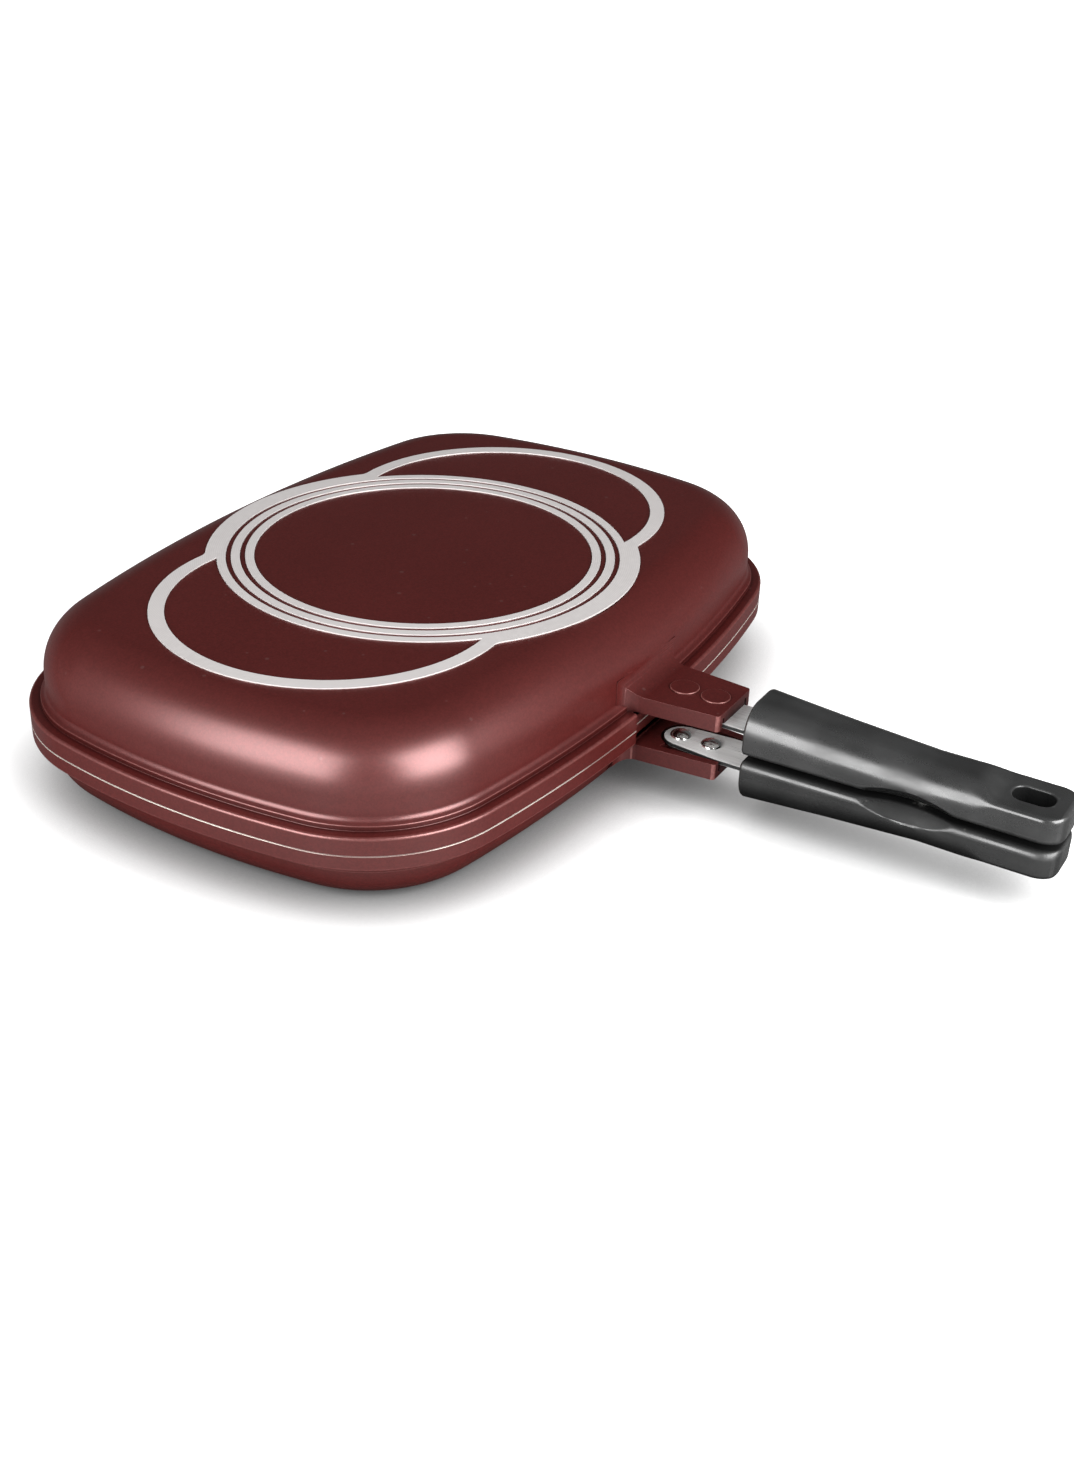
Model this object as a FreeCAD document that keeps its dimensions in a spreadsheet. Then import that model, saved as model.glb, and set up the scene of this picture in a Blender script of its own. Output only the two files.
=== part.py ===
import FreeCAD, Part
import math
import os
import Sketcher

# Double sided flip pan. Long axis on X, handles towards -Y, hinge at +Y, +Z up.
# The origin is the centre of the lower half's machined base rings.
# Each half is drawn in a frame of its own: parting plane at zero, outside of the half towards +Z.

doc = FreeCAD.newDocument("flip_pan")

# Driving sizes in millimetres
SIZES = (
    # outline of the rims seen from above: two shallow side arcs, two end arcs and four corners
    ("half_length", 180.0),
    ("half_width", 125.0),
    ("long_side_radius", 708.0),
    ("short_side_radius", 358.0),
    ("corner_radius", 66.6),
    # castings
    ("upper_depth", 45.2),
    ("lower_depth", 30.5),
    ("wall_inset", 7.5),
    ("wall_thickness", 3.2),
    ("base_thickness", 3.6),
    ("upper_shoulder_radius", 24.0),
    ("lower_shoulder_radius", 21.0),
    ("floor_radius_drop", 3.0),
    # rims and the step behind them
    ("seam_gap", 0.4),
    ("upper_rim_height", 8.2),
    ("lower_rim_height", 7.0),
    ("rim_edge_radius", 1.2),
    ("step_inset", 5.0),
    ("step_rise", 2.2),
    ("step_edge_radius", 0.9),
    # machined rings on the outside of each base
    ("ring_height", 0.5),
    ("ring_one_inner", 76.9),
    ("ring_one_outer", 80.9),
    ("ring_two_inner", 83.3),
    ("ring_two_outer", 87.3),
    ("ring_three_inner", 89.6),
    ("ring_three_outer", 93.6),
    ("ring_band_outer", 98.9),
    ("lobe_inner", 71.4),
    ("lobe_outer", 78.2),
    ("lobe_centre", 68.2),
    ("lobe_corner_radius", 6.0),
    # grill ribs inside the lower half
    ("rib_pitch", 14.0),
    ("rib_count", 19),
    ("rib_width", 4.0),
    ("rib_height", 1.8),
    ("rib_edge_radius", 0.6),
    ("rib_half_length", 74.0),
    # silicone ring in the lower rim
    ("seal_inset", 4.2),
    ("seal_width", 3.0),
    ("seal_groove_depth", 2.2),
    ("seal_side_clearance", 0.1),
    ("seal_top_clearance", 0.3),
    # handle lugs
    ("lug_inner_height", 8.6),
    ("lug_thickness", 7.5),
    ("strap_channel_depth", 1.4),
    ("strap_channel_clearance", 1.2),
    ("lug_reach", 35.7),
    ("lug_front_half_width", 15.6),
    ("lug_root_half_width", 18.6),
    ("lug_flare_radius", 8.0),
    ("lug_ramp_radius", 13.0),
    ("lug_corner_radius", 1.5),
    ("lug_ramp_sink", 0.3),
    ("upper_lug_sink", 0.9),
    ("lower_lug_sink", 2.8),
    ("notch_half_width", 20.5),
    ("notch_depth", 3.0),
    ("boss_radius", 6.5),
    ("boss_height", 0.6),
    # straps and their rivets
    ("strap_width", 21.0),
    ("strap_thickness", 2.0),
    ("strap_setback", 4.0),
    ("rivet_setback", 11.2),
    ("rivet_pitch", 14.9),
    ("rivet_shank_radius", 2.4),
    ("rivet_head_radius", 4.2),
    ("rivet_head_height", 1.9),
    ("rivet_edge_radius", 0.7),
    ("rivet_seat_depth", 5.0),
    ("fit_clearance", 0.05),
    # grips
    ("grip_setback", 11.5),
    ("grip_length", 134.8),
    ("grip_gap", 3.0),
    ("grip_front_half_width", 17.5),
    ("grip_waist_half_width", 15.6),
    ("grip_tail_half_width", 15.2),
    ("grip_front_height", 21.3),
    ("grip_waist_height", 16.8),
    ("grip_neck_height", 16.6),
    ("grip_tail_height", 12.5),
    ("grip_crown_radius", 12.5),
    ("grip_neck_radius", 10.0),
    ("grip_edge_radius", 3.2),
    ("grip_waist_place", 77.3),
    ("grip_neck_place", 96.5),
    ("grip_step_length", 11.5),
    ("grip_tail_corner_radius", 9.0),
    ("hang_slot_length", 17.0),
    ("hang_slot_width", 12.0),
    ("hang_slot_corner", 5.0),
    ("hang_slot_margin", 7.8),
    ("scoop_radius", 67.0),
    ("scoop_depth", 4.3),
    ("scoop_place", 72.3),
    # fixing of the grips
    ("tang_length", 47.3),
    ("screw_place", 33.3),
    ("screw_radius", 2.0),
    ("screw_head_radius", 3.8),
    ("screw_head_height", 2.0),
    ("screw_recess_depth", 2.6),
    ("screw_slot_width", 1.0),
    ("screw_slot_depth", 1.0),
    ("insert_radius", 3.2),
    ("insert_length", 7.0),
    # magnets in the grips
    ("magnet_radius", 6.0),
    ("magnet_thickness", 4.35),
    ("magnet_edge_radius", 0.3),
    ("magnet_gap", 0.3),
    ("magnet_place", 76.3),
    # hinge
    ("hinge_offset", 14.0),
    ("hinge_half_spacing", 75.0),
    ("knuckle_radius", 6.5),
    ("upper_ear_width", 16.0),
    ("lower_ear_width", 7.0),
    ("ear_gap", 0.4),
    ("pin_radius", 2.5),
    ("pin_running_clearance", 0.08),
    ("pin_head_radius", 4.2),
    ("pin_head_height", 1.8),
    ("pin_end_length", 1.6),
    ("pin_chamfer", 0.5),
    ("clip_outer_radius", 4.4),
    ("clip_groove_radius", 1.9),
    ("clip_thickness", 0.8),
    ("clip_mouth_width", 3.0),
)

sheet = doc.addObject("Spreadsheet::Sheet", "sizes")
for row, (alias, value) in enumerate(SIZES, start=1):
    sheet.set("A{}".format(row), alias)
    sheet.set("B{}".format(row), str(value))
    sheet.setAlias("B{}".format(row), alias)
doc.recompute()


class Size:
    """A length together with the sheet formula that it comes from."""

    def __init__(self, value, formula):
        self.value = float(value)
        self.formula = formula

    def __add__(self, other):
        return Size(self.value + number(other), "({} + {})".format(self.formula, formula(other)))

    def __sub__(self, other):
        return Size(self.value - number(other), "({} - {})".format(self.formula, formula(other)))

    def __mul__(self, factor):
        return Size(self.value * number(factor), "({} * {})".format(self.formula, formula(factor)))

    def __truediv__(self, divisor):
        return Size(self.value / number(divisor), "({} / {})".format(self.formula, formula(divisor)))

    def __neg__(self):
        return Size(-self.value, "(0 - {})".format(self.formula))

    def root(self):
        return Size(math.sqrt(self.value), "sqrt({})".format(self.formula))


def number(item):
    return item.value if isinstance(item, Size) else float(item)


def formula(item):
    return item.formula if isinstance(item, Size) else str(item)


class Sheet:
    """Gives each sheet cell as a Size, by its alias."""

    def __getattr__(self, alias):
        return Size(sheet.get(alias), "sizes." + alias)


mm = Sheet()
ZERO = Size(0, "0")
TOLERANCE_SHARE = 1e-5


def bind(item, path, size):
    """Binds one property of a document object to a size."""
    item.setExpression(path, formula(size))


# Places that several pieces share

SEAM = mm.seam_gap / 2
WALL_LINE = mm.half_width - mm.wall_inset
LUG_OUTER = mm.lug_inner_height + mm.lug_thickness
LUG_FRONT = mm.half_width + mm.lug_reach
GRIP_FRONT = LUG_FRONT + mm.grip_setback
GRIP_FACE = mm.grip_gap / 2
TANG_END = GRIP_FRONT + mm.tang_length
MAGNET_FACE = mm.magnet_gap / 2
MAGNET_PLACE = GRIP_FRONT + mm.magnet_place
STRAP_BACK = mm.lug_inner_height + mm.strap_channel_depth
STRAP_FACE = STRAP_BACK - mm.strap_thickness
RIVET_PLACES = (mm.half_width + mm.rivet_setback, mm.half_width + mm.rivet_setback + mm.rivet_pitch)
SCREW_PLACE = GRIP_FRONT + mm.screw_place
HINGE_LINE = mm.half_width + mm.hinge_offset
HINGE_HALF_STACK = mm.upper_ear_width / 2 + mm.ear_gap + mm.lower_ear_width
PARTING_HEIGHT = mm.lower_depth + mm.ring_height
OVERRUN = mm.wall_thickness
DIAGONAL = round(math.sqrt(0.5), 12)


# Sketch and feature helpers

def new_body(name):
    return doc.addObject("PartDesign::Body", name)


def new_sketch(body, name, role, level=ZERO):
    """A sketch on one origin plane of its body, lifted along the plane's normal."""
    plane = [item for item in body.Origin.OriginFeatures if item.Role == role][0]
    sketch = body.newObject("Sketcher::SketchObject", name)
    sketch.AttachmentSupport = [(plane, "")]
    sketch.MapMode = "FlatFace"
    sketch.AttachmentOffset = FreeCAD.Placement(FreeCAD.Vector(0, 0, level.value), FreeCAD.Rotation())
    bind(sketch, "AttachmentOffset.Base.z", level)
    return sketch


def hold(sketch, kind, *items):
    """Adds a constraint; a Size at the end becomes its bound value."""
    size = items[-1] if isinstance(items[-1], Size) else None
    plain = items[:-1] + (size.value,) if size else items
    index = sketch.addConstraint(Sketcher.Constraint(kind, *plain))
    if size:
        bind(sketch, "Constraints[{}]".format(index), size)


def hold_point(sketch, geometry, end, place):
    """Ties a point of a sketch to its distances from the sketch's origin."""
    for axis, kind, size in ((-2, "DistanceX", place[0]), (-1, "DistanceY", place[1])):
        if size is None:
            continue
        if size.formula == "0":
            hold(sketch, "PointOnObject", geometry, end, axis)
        else:
            hold(sketch, kind, -1, 1, geometry, end, size)


def vector(place):
    return FreeCAD.Vector(place[0].value, place[1].value, 0)


def draw_profile(sketch, corners):
    """A closed outline of points; where an arc leads on from a point, its centre and its turn follow."""
    first = sketch.GeometryCount
    count = len(corners)
    points = [corner[0:2] for corner in corners]
    ends = []
    for corner, start, end in zip(corners, points, points[1:] + points[:1]):
        if len(corner) == 2:
            sketch.addGeometry(Part.LineSegment(vector(start), vector(end)), False)
            ends.append((1, 2))
            continue
        centre = vector(corner[2])
        arms = [vector(point) - centre for point in (start, end)]
        angles = [math.atan2(arm.y, arm.x) for arm in arms]
        circle = Part.Circle(centre, FreeCAD.Vector(0, 0, 1), arms[0].Length)
        leftwards = corner[3] == "left"
        sketch.addGeometry(Part.ArcOfCircle(circle, *(angles if leftwards else angles[::-1])), False)
        ends.append((1, 2) if leftwards else (2, 1))
    for index, corner in enumerate(corners):
        following = (index + 1) % count
        hold(sketch, "Coincident", first + index, ends[index][1], first + following, ends[following][0])
        hold_point(sketch, first + index, ends[index][0], points[index])
        if len(corner) > 2:
            level = near(points[index][1].value, points[following][1].value)
            hold_point(sketch, first + index, 3, (None, corner[2][1]) if level else (corner[2][0], None))


def draw_circle(sketch, centre, radius):
    circle = Part.Circle(vector(centre), FreeCAD.Vector(0, 0, 1), radius.value)
    index = sketch.addGeometry(circle, False)
    hold_point(sketch, index, 3, centre)
    hold(sketch, "Radius", index, radius)


def draw_outline(sketch, inset):
    """The outline of the rims drawn in by an inset: eight arcs, each tangent to the next."""
    long_centre = mm.long_side_radius - mm.half_width
    short_centre = mm.short_side_radius - mm.half_length
    long_reach = (mm.long_side_radius - mm.corner_radius).value
    short_reach = (mm.short_side_radius - mm.corner_radius).value
    apart = math.hypot(long_centre.value, short_centre.value)
    along = (long_reach ** 2 - short_reach ** 2 + apart ** 2) / (2 * apart)
    aside = math.sqrt(long_reach ** 2 - along ** 2)
    corner_x = (aside * long_centre.value - along * short_centre.value) / apart
    corner_y = (along * long_centre.value + aside * short_centre.value) / apart - long_centre.value
    end_angle = math.atan2(corner_y, corner_x + short_centre.value)
    side_angle = math.atan2(corner_y + long_centre.value, corner_x)
    long_radius, short_radius, corner_radius = (
        radius - inset for radius in (mm.long_side_radius, mm.short_side_radius, mm.corner_radius))
    half = math.pi
    arcs = (
        (-short_centre.value, 0, short_radius, -end_angle, end_angle),
        (corner_x, corner_y, corner_radius, end_angle, side_angle),
        (0, -long_centre.value, long_radius, side_angle, half - side_angle),
        (-corner_x, corner_y, corner_radius, half - side_angle, half - end_angle),
        (short_centre.value, 0, short_radius, half - end_angle, half + end_angle),
        (-corner_x, -corner_y, corner_radius, half + end_angle, half + side_angle),
        (0, long_centre.value, long_radius, half + side_angle, math.tau - side_angle),
        (corner_x, -corner_y, corner_radius, -side_angle, -end_angle),
    )
    for x, y, radius, start, end in arcs:
        circle = Part.Circle(FreeCAD.Vector(x, y, 0), FreeCAD.Vector(0, 0, 1), radius.value)
        sketch.addGeometry(Part.ArcOfCircle(circle, start, end), False)
    for index in range(len(arcs)):
        hold(sketch, "Tangent", index, 2, (index + 1) % len(arcs), 1)
    hold(sketch, "Radius", 0, short_radius)
    hold(sketch, "Radius", 1, corner_radius)
    hold(sketch, "Radius", 2, long_radius)
    for pair in ((0, 4), (2, 6), (1, 3), (1, 5), (1, 7)):
        hold(sketch, "Equal", *pair)
    for index, axis in ((0, -1), (2, -2), (4, -1), (6, -2)):
        hold(sketch, "PointOnObject", index, 3, axis)
    hold(sketch, "DistanceX", 0, 3, -1, 1, short_centre)
    hold(sketch, "DistanceX", -1, 1, 4, 3, short_centre)
    hold(sketch, "DistanceY", 2, 3, -1, 1, long_centre)
    hold(sketch, "DistanceY", -1, 1, 6, 3, long_centre)


def pad(body, sketch, name, length, symmetric=False, backwards=False):
    feature = body.newObject("PartDesign::Pad", name)
    feature.Profile = sketch
    feature.Length = length.value
    bind(feature, "Length", length)
    feature.SideType = "Symmetric" if symmetric else "One side"
    feature.Reversed = backwards
    sketch.Visibility = False
    doc.recompute()
    return feature


def pocket(body, sketch, name, length, symmetric=False, backwards=False):
    """Cuts a sketch's area away and makes sure that something was cut."""
    before = body.Shape.Volume
    feature = body.newObject("PartDesign::Pocket", name)
    feature.Profile = sketch
    feature.Type = "Length"
    feature.Length = length.value
    bind(feature, "Length", length)
    feature.SideType = "Symmetric" if symmetric else "One side"
    feature.Reversed = backwards
    doc.recompute()
    if not body.Shape.Volume < before:
        raise RuntimeError(name + " cuts nothing")
    return feature


def fillet(body, name, radius, chosen):
    """Rounds the edges of the body that a test picks out."""
    base = body.Tip
    names = ["Edge{}".format(index) for index, edge in enumerate(base.Shape.Edges, start=1) if chosen(edge)]
    feature = body.newObject("PartDesign::Fillet", name)
    feature.Base = (base, names)
    feature.Radius = radius.value
    bind(feature, "Radius", radius)
    doc.recompute()
    return feature


def near(a, b):
    return abs(a - b) <= TOLERANCE_SHARE * mm.half_length.value


def at_height(level):
    """A test for edges that lie in one level plane."""
    def test(edge):
        box = edge.BoundBox
        return near(box.ZMin, number(level)) and near(box.ZMax, number(level))
    return test


def upright_at(places):
    """A test for straight edges along Z that stand at one of the given points."""
    def test(edge):
        box = edge.BoundBox
        if not (near(box.XMin, box.XMax) and near(box.YMin, box.YMax)):
            return False
        return any(near(box.XMin, number(x)) and near(box.YMin, number(y)) for x, y in places)
    return test


def formed_block(name, inset, bottom, top, edge_radius=None):
    """A block of the rim's outline between two heights, its top edge rounded."""
    body = new_body(name)
    sketch = new_sketch(body, name + "_outline", "XY_Plane", bottom)
    draw_outline(sketch, inset)
    pad(body, sketch, name + "_pad", top - bottom)
    if edge_radius:
        fillet(body, name + "_edge", edge_radius, at_height(top))
    return body


def turned(name, profile, axis="V_Axis"):
    """A round piece: half of its section, turned about the sketch's upright axis."""
    body = new_body(name)
    sketch = new_sketch(body, name + "_section", "XZ_Plane")
    draw_profile(sketch, profile)
    feature = body.newObject("PartDesign::Revolution", name + "_turn")
    feature.Profile = sketch
    feature.ReferenceAxis = (sketch, [axis])
    feature.Angle = 360
    doc.recompute()
    return body


def cylinder(name, radius, height, place, axis=(0, 0, 1)):
    """A plain cylinder that starts at a place and runs along an axis."""
    item = doc.addObject("Part::Cylinder", name)
    item.Radius = radius.value
    item.Height = height.value
    bind(item, "Radius", radius)
    bind(item, "Height", height)
    rotation = FreeCAD.Rotation(FreeCAD.Vector(0, 0, 1), FreeCAD.Vector(*axis))
    item.Placement = FreeCAD.Placement(FreeCAD.Vector(*(size.value for size in place)), rotation)
    for letter, size in zip("xyz", place):
        bind(item, "Placement.Base." + letter, size)
    return item


def block(name, low, high):
    """A plain box between two corners."""
    item = doc.addObject("Part::Box", name)
    for side, letter, start, end in zip(("Length", "Width", "Height"), "xyz", low, high):
        bind(item, side, end - start)
        bind(item, "Placement.Base." + letter, start)
    return item


def chain(kind, name, base, others):
    """Joins or cuts one solid after another; the last result carries the plain name."""
    for index, other in enumerate(others, start=1):
        result = doc.addObject(kind, name if index == len(others) else "{}_{}".format(name, index))
        result.Base, result.Tool = base, other
        base = result
    return base


def fuse(name, items):
    return chain("Part::Fuse", name, items[0], items[1:])


def cut(name, base, tools):
    return chain("Part::Cut", name, base, tools)


def seat(item, label, half="upper", y=ZERO, axis=(0, 1, 0)):
    """Names a finished piece and puts it in the whole pan's frame; the lower half is the one turned over."""
    turn = 180 if half == "lower" else 0
    item.Placement = FreeCAD.Placement(FreeCAD.Vector(0, y.value, PARTING_HEIGHT.value),
                                       FreeCAD.Rotation(FreeCAD.Vector(*axis), turn))
    bind(item, "Placement.Base.y", y)
    bind(item, "Placement.Base.z", PARTING_HEIGHT)
    item.Label = label
    return item


# Machined rings and the two lobes on the outside of a base

def base_rings(half, depth):
    """Raised bare rings: three round ones, and a band that opens into a lobe on either side."""
    level = depth - mm.ring_height
    height = mm.ring_height * 2

    def disc(name, radius, x=ZERO):
        return cylinder("{}_{}".format(half, name), radius, height, (x, ZERO, level))

    def ring(name, inner, outer):
        label = "{}_{}".format(half, name)
        return cut(label, disc(name + "_outside", outer), [disc(name + "_inside", inner)])

    sides = (("left", -mm.lobe_centre), ("right", mm.lobe_centre))
    band = fuse(half + "_band", [disc("band_disc", mm.ring_band_outer)]
                + [disc("lobe_outside_" + side, mm.lobe_outer, x) for side, x in sides])
    doc.recompute()
    rounded = doc.addObject("Part::Fillet", half + "_band_rounded")
    rounded.Base = band
    corner_x = (mm.ring_band_outer.value ** 2 - mm.lobe_outer.value ** 2
                + mm.lobe_centre.value ** 2) / (2 * mm.lobe_centre.value)
    corner_y = math.sqrt(mm.ring_band_outer.value ** 2 - corner_x ** 2)
    test = upright_at([(x, y) for x in (-corner_x, corner_x) for y in (-corner_y, corner_y)])
    rounded.Edges = [(index, mm.lobe_corner_radius.value, mm.lobe_corner_radius.value)
                     for index, edge in enumerate(band.Shape.Edges, start=1) if test(edge)]
    openings = [disc("lobe_inside_" + side, mm.lobe_inner, x) for side, x in sides]
    openings.append(disc("band_inside", mm.ring_three_inner))
    return [
        cut(half + "_band_open", rounded, openings),
        ring("ring_one", mm.ring_one_inner, mm.ring_one_outer),
        ring("ring_two", mm.ring_two_inner, mm.ring_two_outer),
        ring("ring_three", mm.ring_three_inner, mm.ring_three_outer),
    ]


# Handle lug: a flat plate that flares in plan and ramps up into the rounded shoulder of its pan

def lug(half, depth, shoulder_radius, sink):
    name = half + "_lug"
    wall = WALL_LINE - sink
    flare_start = wall + mm.lug_flare_radius
    flare_out = mm.lug_root_half_width + mm.lug_flare_radius

    # The ramp's arc touches the round of the shoulder
    round_place = WALL_LINE - shoulder_radius
    round_height = depth - shoulder_radius
    round_reach = shoulder_radius - mm.lug_ramp_sink
    ramp_centre = LUG_OUTER + mm.lug_ramp_radius
    between = round_reach + mm.lug_ramp_radius
    climb = ramp_centre - round_height
    along = (between * between - climb * climb).root()
    ramp_start = round_place + along
    touch = round_place + round_reach * along / between
    top = round_height + round_reach * climb / between
    inside = touch - mm.wall_thickness / 2

    body = new_body(name)
    plan = new_sketch(body, name + "_plan", "XY_Plane", mm.lug_inner_height)
    draw_profile(plan, (
        (-flare_out, -inside),
        (-flare_out, -wall, (-flare_out, -flare_start), "right"),
        (-mm.lug_root_half_width, -flare_start),
        (-mm.lug_front_half_width, -LUG_FRONT),
        (mm.lug_front_half_width, -LUG_FRONT),
        (mm.lug_root_half_width, -flare_start, (flare_out, -flare_start), "right"),
        (flare_out, -wall),
        (flare_out, -inside),
    ))
    pad(body, plan, name + "_pad", top - mm.lug_inner_height)
    side = new_sketch(body, name + "_side", "YZ_Plane")
    draw_profile(side, (
        (-(LUG_FRONT + OVERRUN), LUG_OUTER),
        (-ramp_start, LUG_OUTER, (-ramp_start, ramp_centre), "left"),
        (-touch, top),
        (-touch, top + OVERRUN),
        (-(LUG_FRONT + OVERRUN), top + OVERRUN),
    ))
    pocket(body, side, name + "_ramp", (flare_out + OVERRUN) * 2, symmetric=True)
    front_corners = [(-mm.lug_front_half_width, -LUG_FRONT), (mm.lug_front_half_width, -LUG_FRONT)]
    fillet(body, name + "_corners", mm.lug_corner_radius, upright_at(front_corners))
    middle = LUG_OUTER - mm.lug_thickness / 2
    boss_top = LUG_OUTER + mm.boss_height
    bosses = [cylinder("{}_boss_{}".format(half, index), mm.boss_radius, boss_top - middle,
                       (ZERO, -place, middle))
              for index, place in enumerate(RIVET_PLACES, start=1)]
    footing = block(half + "_lug_footing",
                    (-mm.lug_root_half_width, -(mm.half_width - mm.notch_depth), mm.lug_inner_height / 2),
                    (mm.lug_root_half_width, -(mm.half_width - mm.step_inset - mm.wall_thickness), middle))
    return [body, footing] + bosses


def lug_cuts(half):
    """The relief in the rim between the lugs, the strap's channel and the blind rivet holes."""
    relief = block(half + "_rim_relief",
                   (-mm.notch_half_width, -(mm.half_width + OVERRUN), ZERO),
                   (mm.notch_half_width, -(mm.half_width - mm.notch_depth), mm.lug_inner_height))
    holes = [cylinder("{}_rivet_hole_{}".format(half, index), mm.rivet_shank_radius + mm.fit_clearance,
                      mm.rivet_seat_depth + OVERRUN,
                      (ZERO, -place, mm.lug_inner_height - OVERRUN))
             for index, place in enumerate(RIVET_PLACES, start=1)]
    channel = mm.strap_width / 2 + mm.strap_channel_clearance
    round_end = mm.half_width + mm.strap_setback + mm.strap_width / 2
    low = mm.lug_inner_height - OVERRUN
    channel_end = cylinder(half + "_channel_end", channel, STRAP_BACK - low, (ZERO, -round_end, low))
    channel_run = block(half + "_channel_run", (-channel, -(LUG_FRONT + OVERRUN), low),
                        (channel, -round_end, STRAP_BACK))
    return [relief, channel_end, channel_run] + holes


# Hinge ears: one wide ear on the upper half between two narrow ones on the lower half

def ear_places(half):
    """Start and width along X of each ear of one half."""
    inner = mm.upper_ear_width / 2
    places = []
    for sign in (-1, 1):
        centre = mm.hinge_half_spacing * sign
        if half == "upper":
            places.append((centre - inner, mm.upper_ear_width))
        else:
            places.append((centre + inner + mm.ear_gap, mm.lower_ear_width))
            places.append((centre - inner - mm.ear_gap - mm.lower_ear_width, mm.lower_ear_width))
    return places


def ears(half, rim_height):
    pieces = []
    for index, (start, width) in enumerate(ear_places(half), start=1):
        name = "{}_ear_{}".format(half, index)
        body = new_body(name)
        sketch = new_sketch(body, name + "_side", "YZ_Plane", start)
        draw_profile(sketch, (
            (WALL_LINE, mm.seam_gap),
            (HINGE_LINE, mm.seam_gap),
            (HINGE_LINE, mm.knuckle_radius),
            (WALL_LINE, rim_height - mm.rim_edge_radius / 2),
        ))
        pad(body, sketch, name + "_arm", width)
        pieces.append(body)
        pieces.append(cylinder(name + "_knuckle", mm.knuckle_radius, width,
                               (start, HINGE_LINE, ZERO), (1, 0, 0)))
    return pieces


def ear_bores(half):
    radius = mm.pin_radius + mm.pin_running_clearance
    return [cylinder("{}_bore_{}".format(half, index), radius, width + OVERRUN * 2,
                     (start - OVERRUN, HINGE_LINE, ZERO), (1, 0, 0))
            for index, (start, width) in enumerate(ear_places(half), start=1)]


# Grill ribs on the floor of the lower half

def grill_ribs(floor):
    body = new_body("grill_ribs")
    sketch = new_sketch(body, "grill_rib_plan", "XY_Plane", floor - mm.rib_height)
    first = -mm.rib_pitch * (mm.rib_count - 1) / 2
    left, right = first - mm.rib_width / 2, first + mm.rib_width / 2
    end = mm.rib_half_length - mm.rib_width / 2
    draw_profile(sketch, (
        (right, -end),
        (right, end, (first, end), "left"),
        (left, end),
        (left, -end, (first, -end), "left"),
    ))
    rib = pad(body, sketch, "grill_rib", mm.rib_height + mm.base_thickness / 2)
    fillet(body, "grill_rib_edge", mm.rib_edge_radius, at_height(floor - mm.rib_height))
    rounding = body.Tip
    pattern = body.newObject("PartDesign::LinearPattern", "grill_rib_pattern")
    pattern.Originals = [rib, rounding]
    pattern.Direction = (sketch, ["H_Axis"])
    pattern.Mode = "Extent"
    bind(pattern, "Length", mm.rib_pitch * (mm.rib_count - 1))
    bind(pattern, "Occurrences", mm.rib_count)
    body.Tip = pattern
    doc.recompute()
    return body


# Castings

def seal_ring_block(name, clearance, bottom, top):
    """A band that follows the rim: the groove at no clearance, the seal at some."""
    outside = formed_block(name + "_outside", mm.seal_inset + clearance, bottom, top)
    inside = formed_block(name + "_inside", mm.seal_inset + mm.seal_width - clearance,
                          bottom - OVERRUN, top + OVERRUN)
    return cut(name, outside, [inside])


def casting(half, depth, rim_height, shoulder_radius, lug_sink):
    """One half of the pan: shell, step, rim, rings, lug and ears in one solid, hollowed out."""
    solids = [
        formed_block(half + "_shell", mm.wall_inset, SEAM, depth, shoulder_radius),
        formed_block(half + "_step", mm.step_inset, SEAM, rim_height + mm.step_rise, mm.step_edge_radius),
        formed_block(half + "_rim", ZERO, SEAM, rim_height, mm.rim_edge_radius),
    ]
    solids += base_rings(half, depth)
    solids += lug(half, depth, shoulder_radius, lug_sink)
    solids += ears(half, rim_height)
    floor = depth - mm.base_thickness
    cavity = formed_block(half + "_cavity", mm.wall_inset + mm.wall_thickness, -OVERRUN, floor,
                          shoulder_radius - mm.floor_radius_drop)
    cuts = [cavity] + lug_cuts(half) + ear_bores(half)
    if half == "lower":
        cuts.append(seal_ring_block("seal_groove", ZERO, SEAM - OVERRUN, SEAM + mm.seal_groove_depth))
    hollow = cut(half + "_hollowed", fuse(half + "_solid", solids), cuts)
    if half == "lower":
        hollow = fuse(half + "_ribbed", [hollow, grill_ribs(floor)])
    return seat(hollow, half + "_pan", half)


# Straps, rivets, grips and what holds them

def strap(half):
    name = half + "_strap"
    radius = mm.strap_width / 2
    tip = mm.half_width + mm.strap_setback
    body = new_body(name + "_form")
    plan = new_sketch(body, name + "_plan", "XY_Plane", STRAP_FACE)
    draw_profile(plan, (
        (-radius, -TANG_END),
        (radius, -TANG_END),
        (radius, -(tip + radius), (ZERO, -(tip + radius)), "left"),
        (-radius, -(tip + radius)),
    ))
    pad(body, plan, name + "_pad", mm.strap_thickness)
    holes = new_sketch(body, name + "_holes", "XY_Plane", STRAP_FACE)
    for place in RIVET_PLACES:
        draw_circle(holes, (ZERO, -place), mm.rivet_shank_radius + mm.fit_clearance)
    draw_circle(holes, (ZERO, -SCREW_PLACE), mm.screw_radius + mm.fit_clearance)
    pocket(body, holes, name + "_drilling", mm.strap_thickness, backwards=True)
    return seat(body, name, half)


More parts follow.
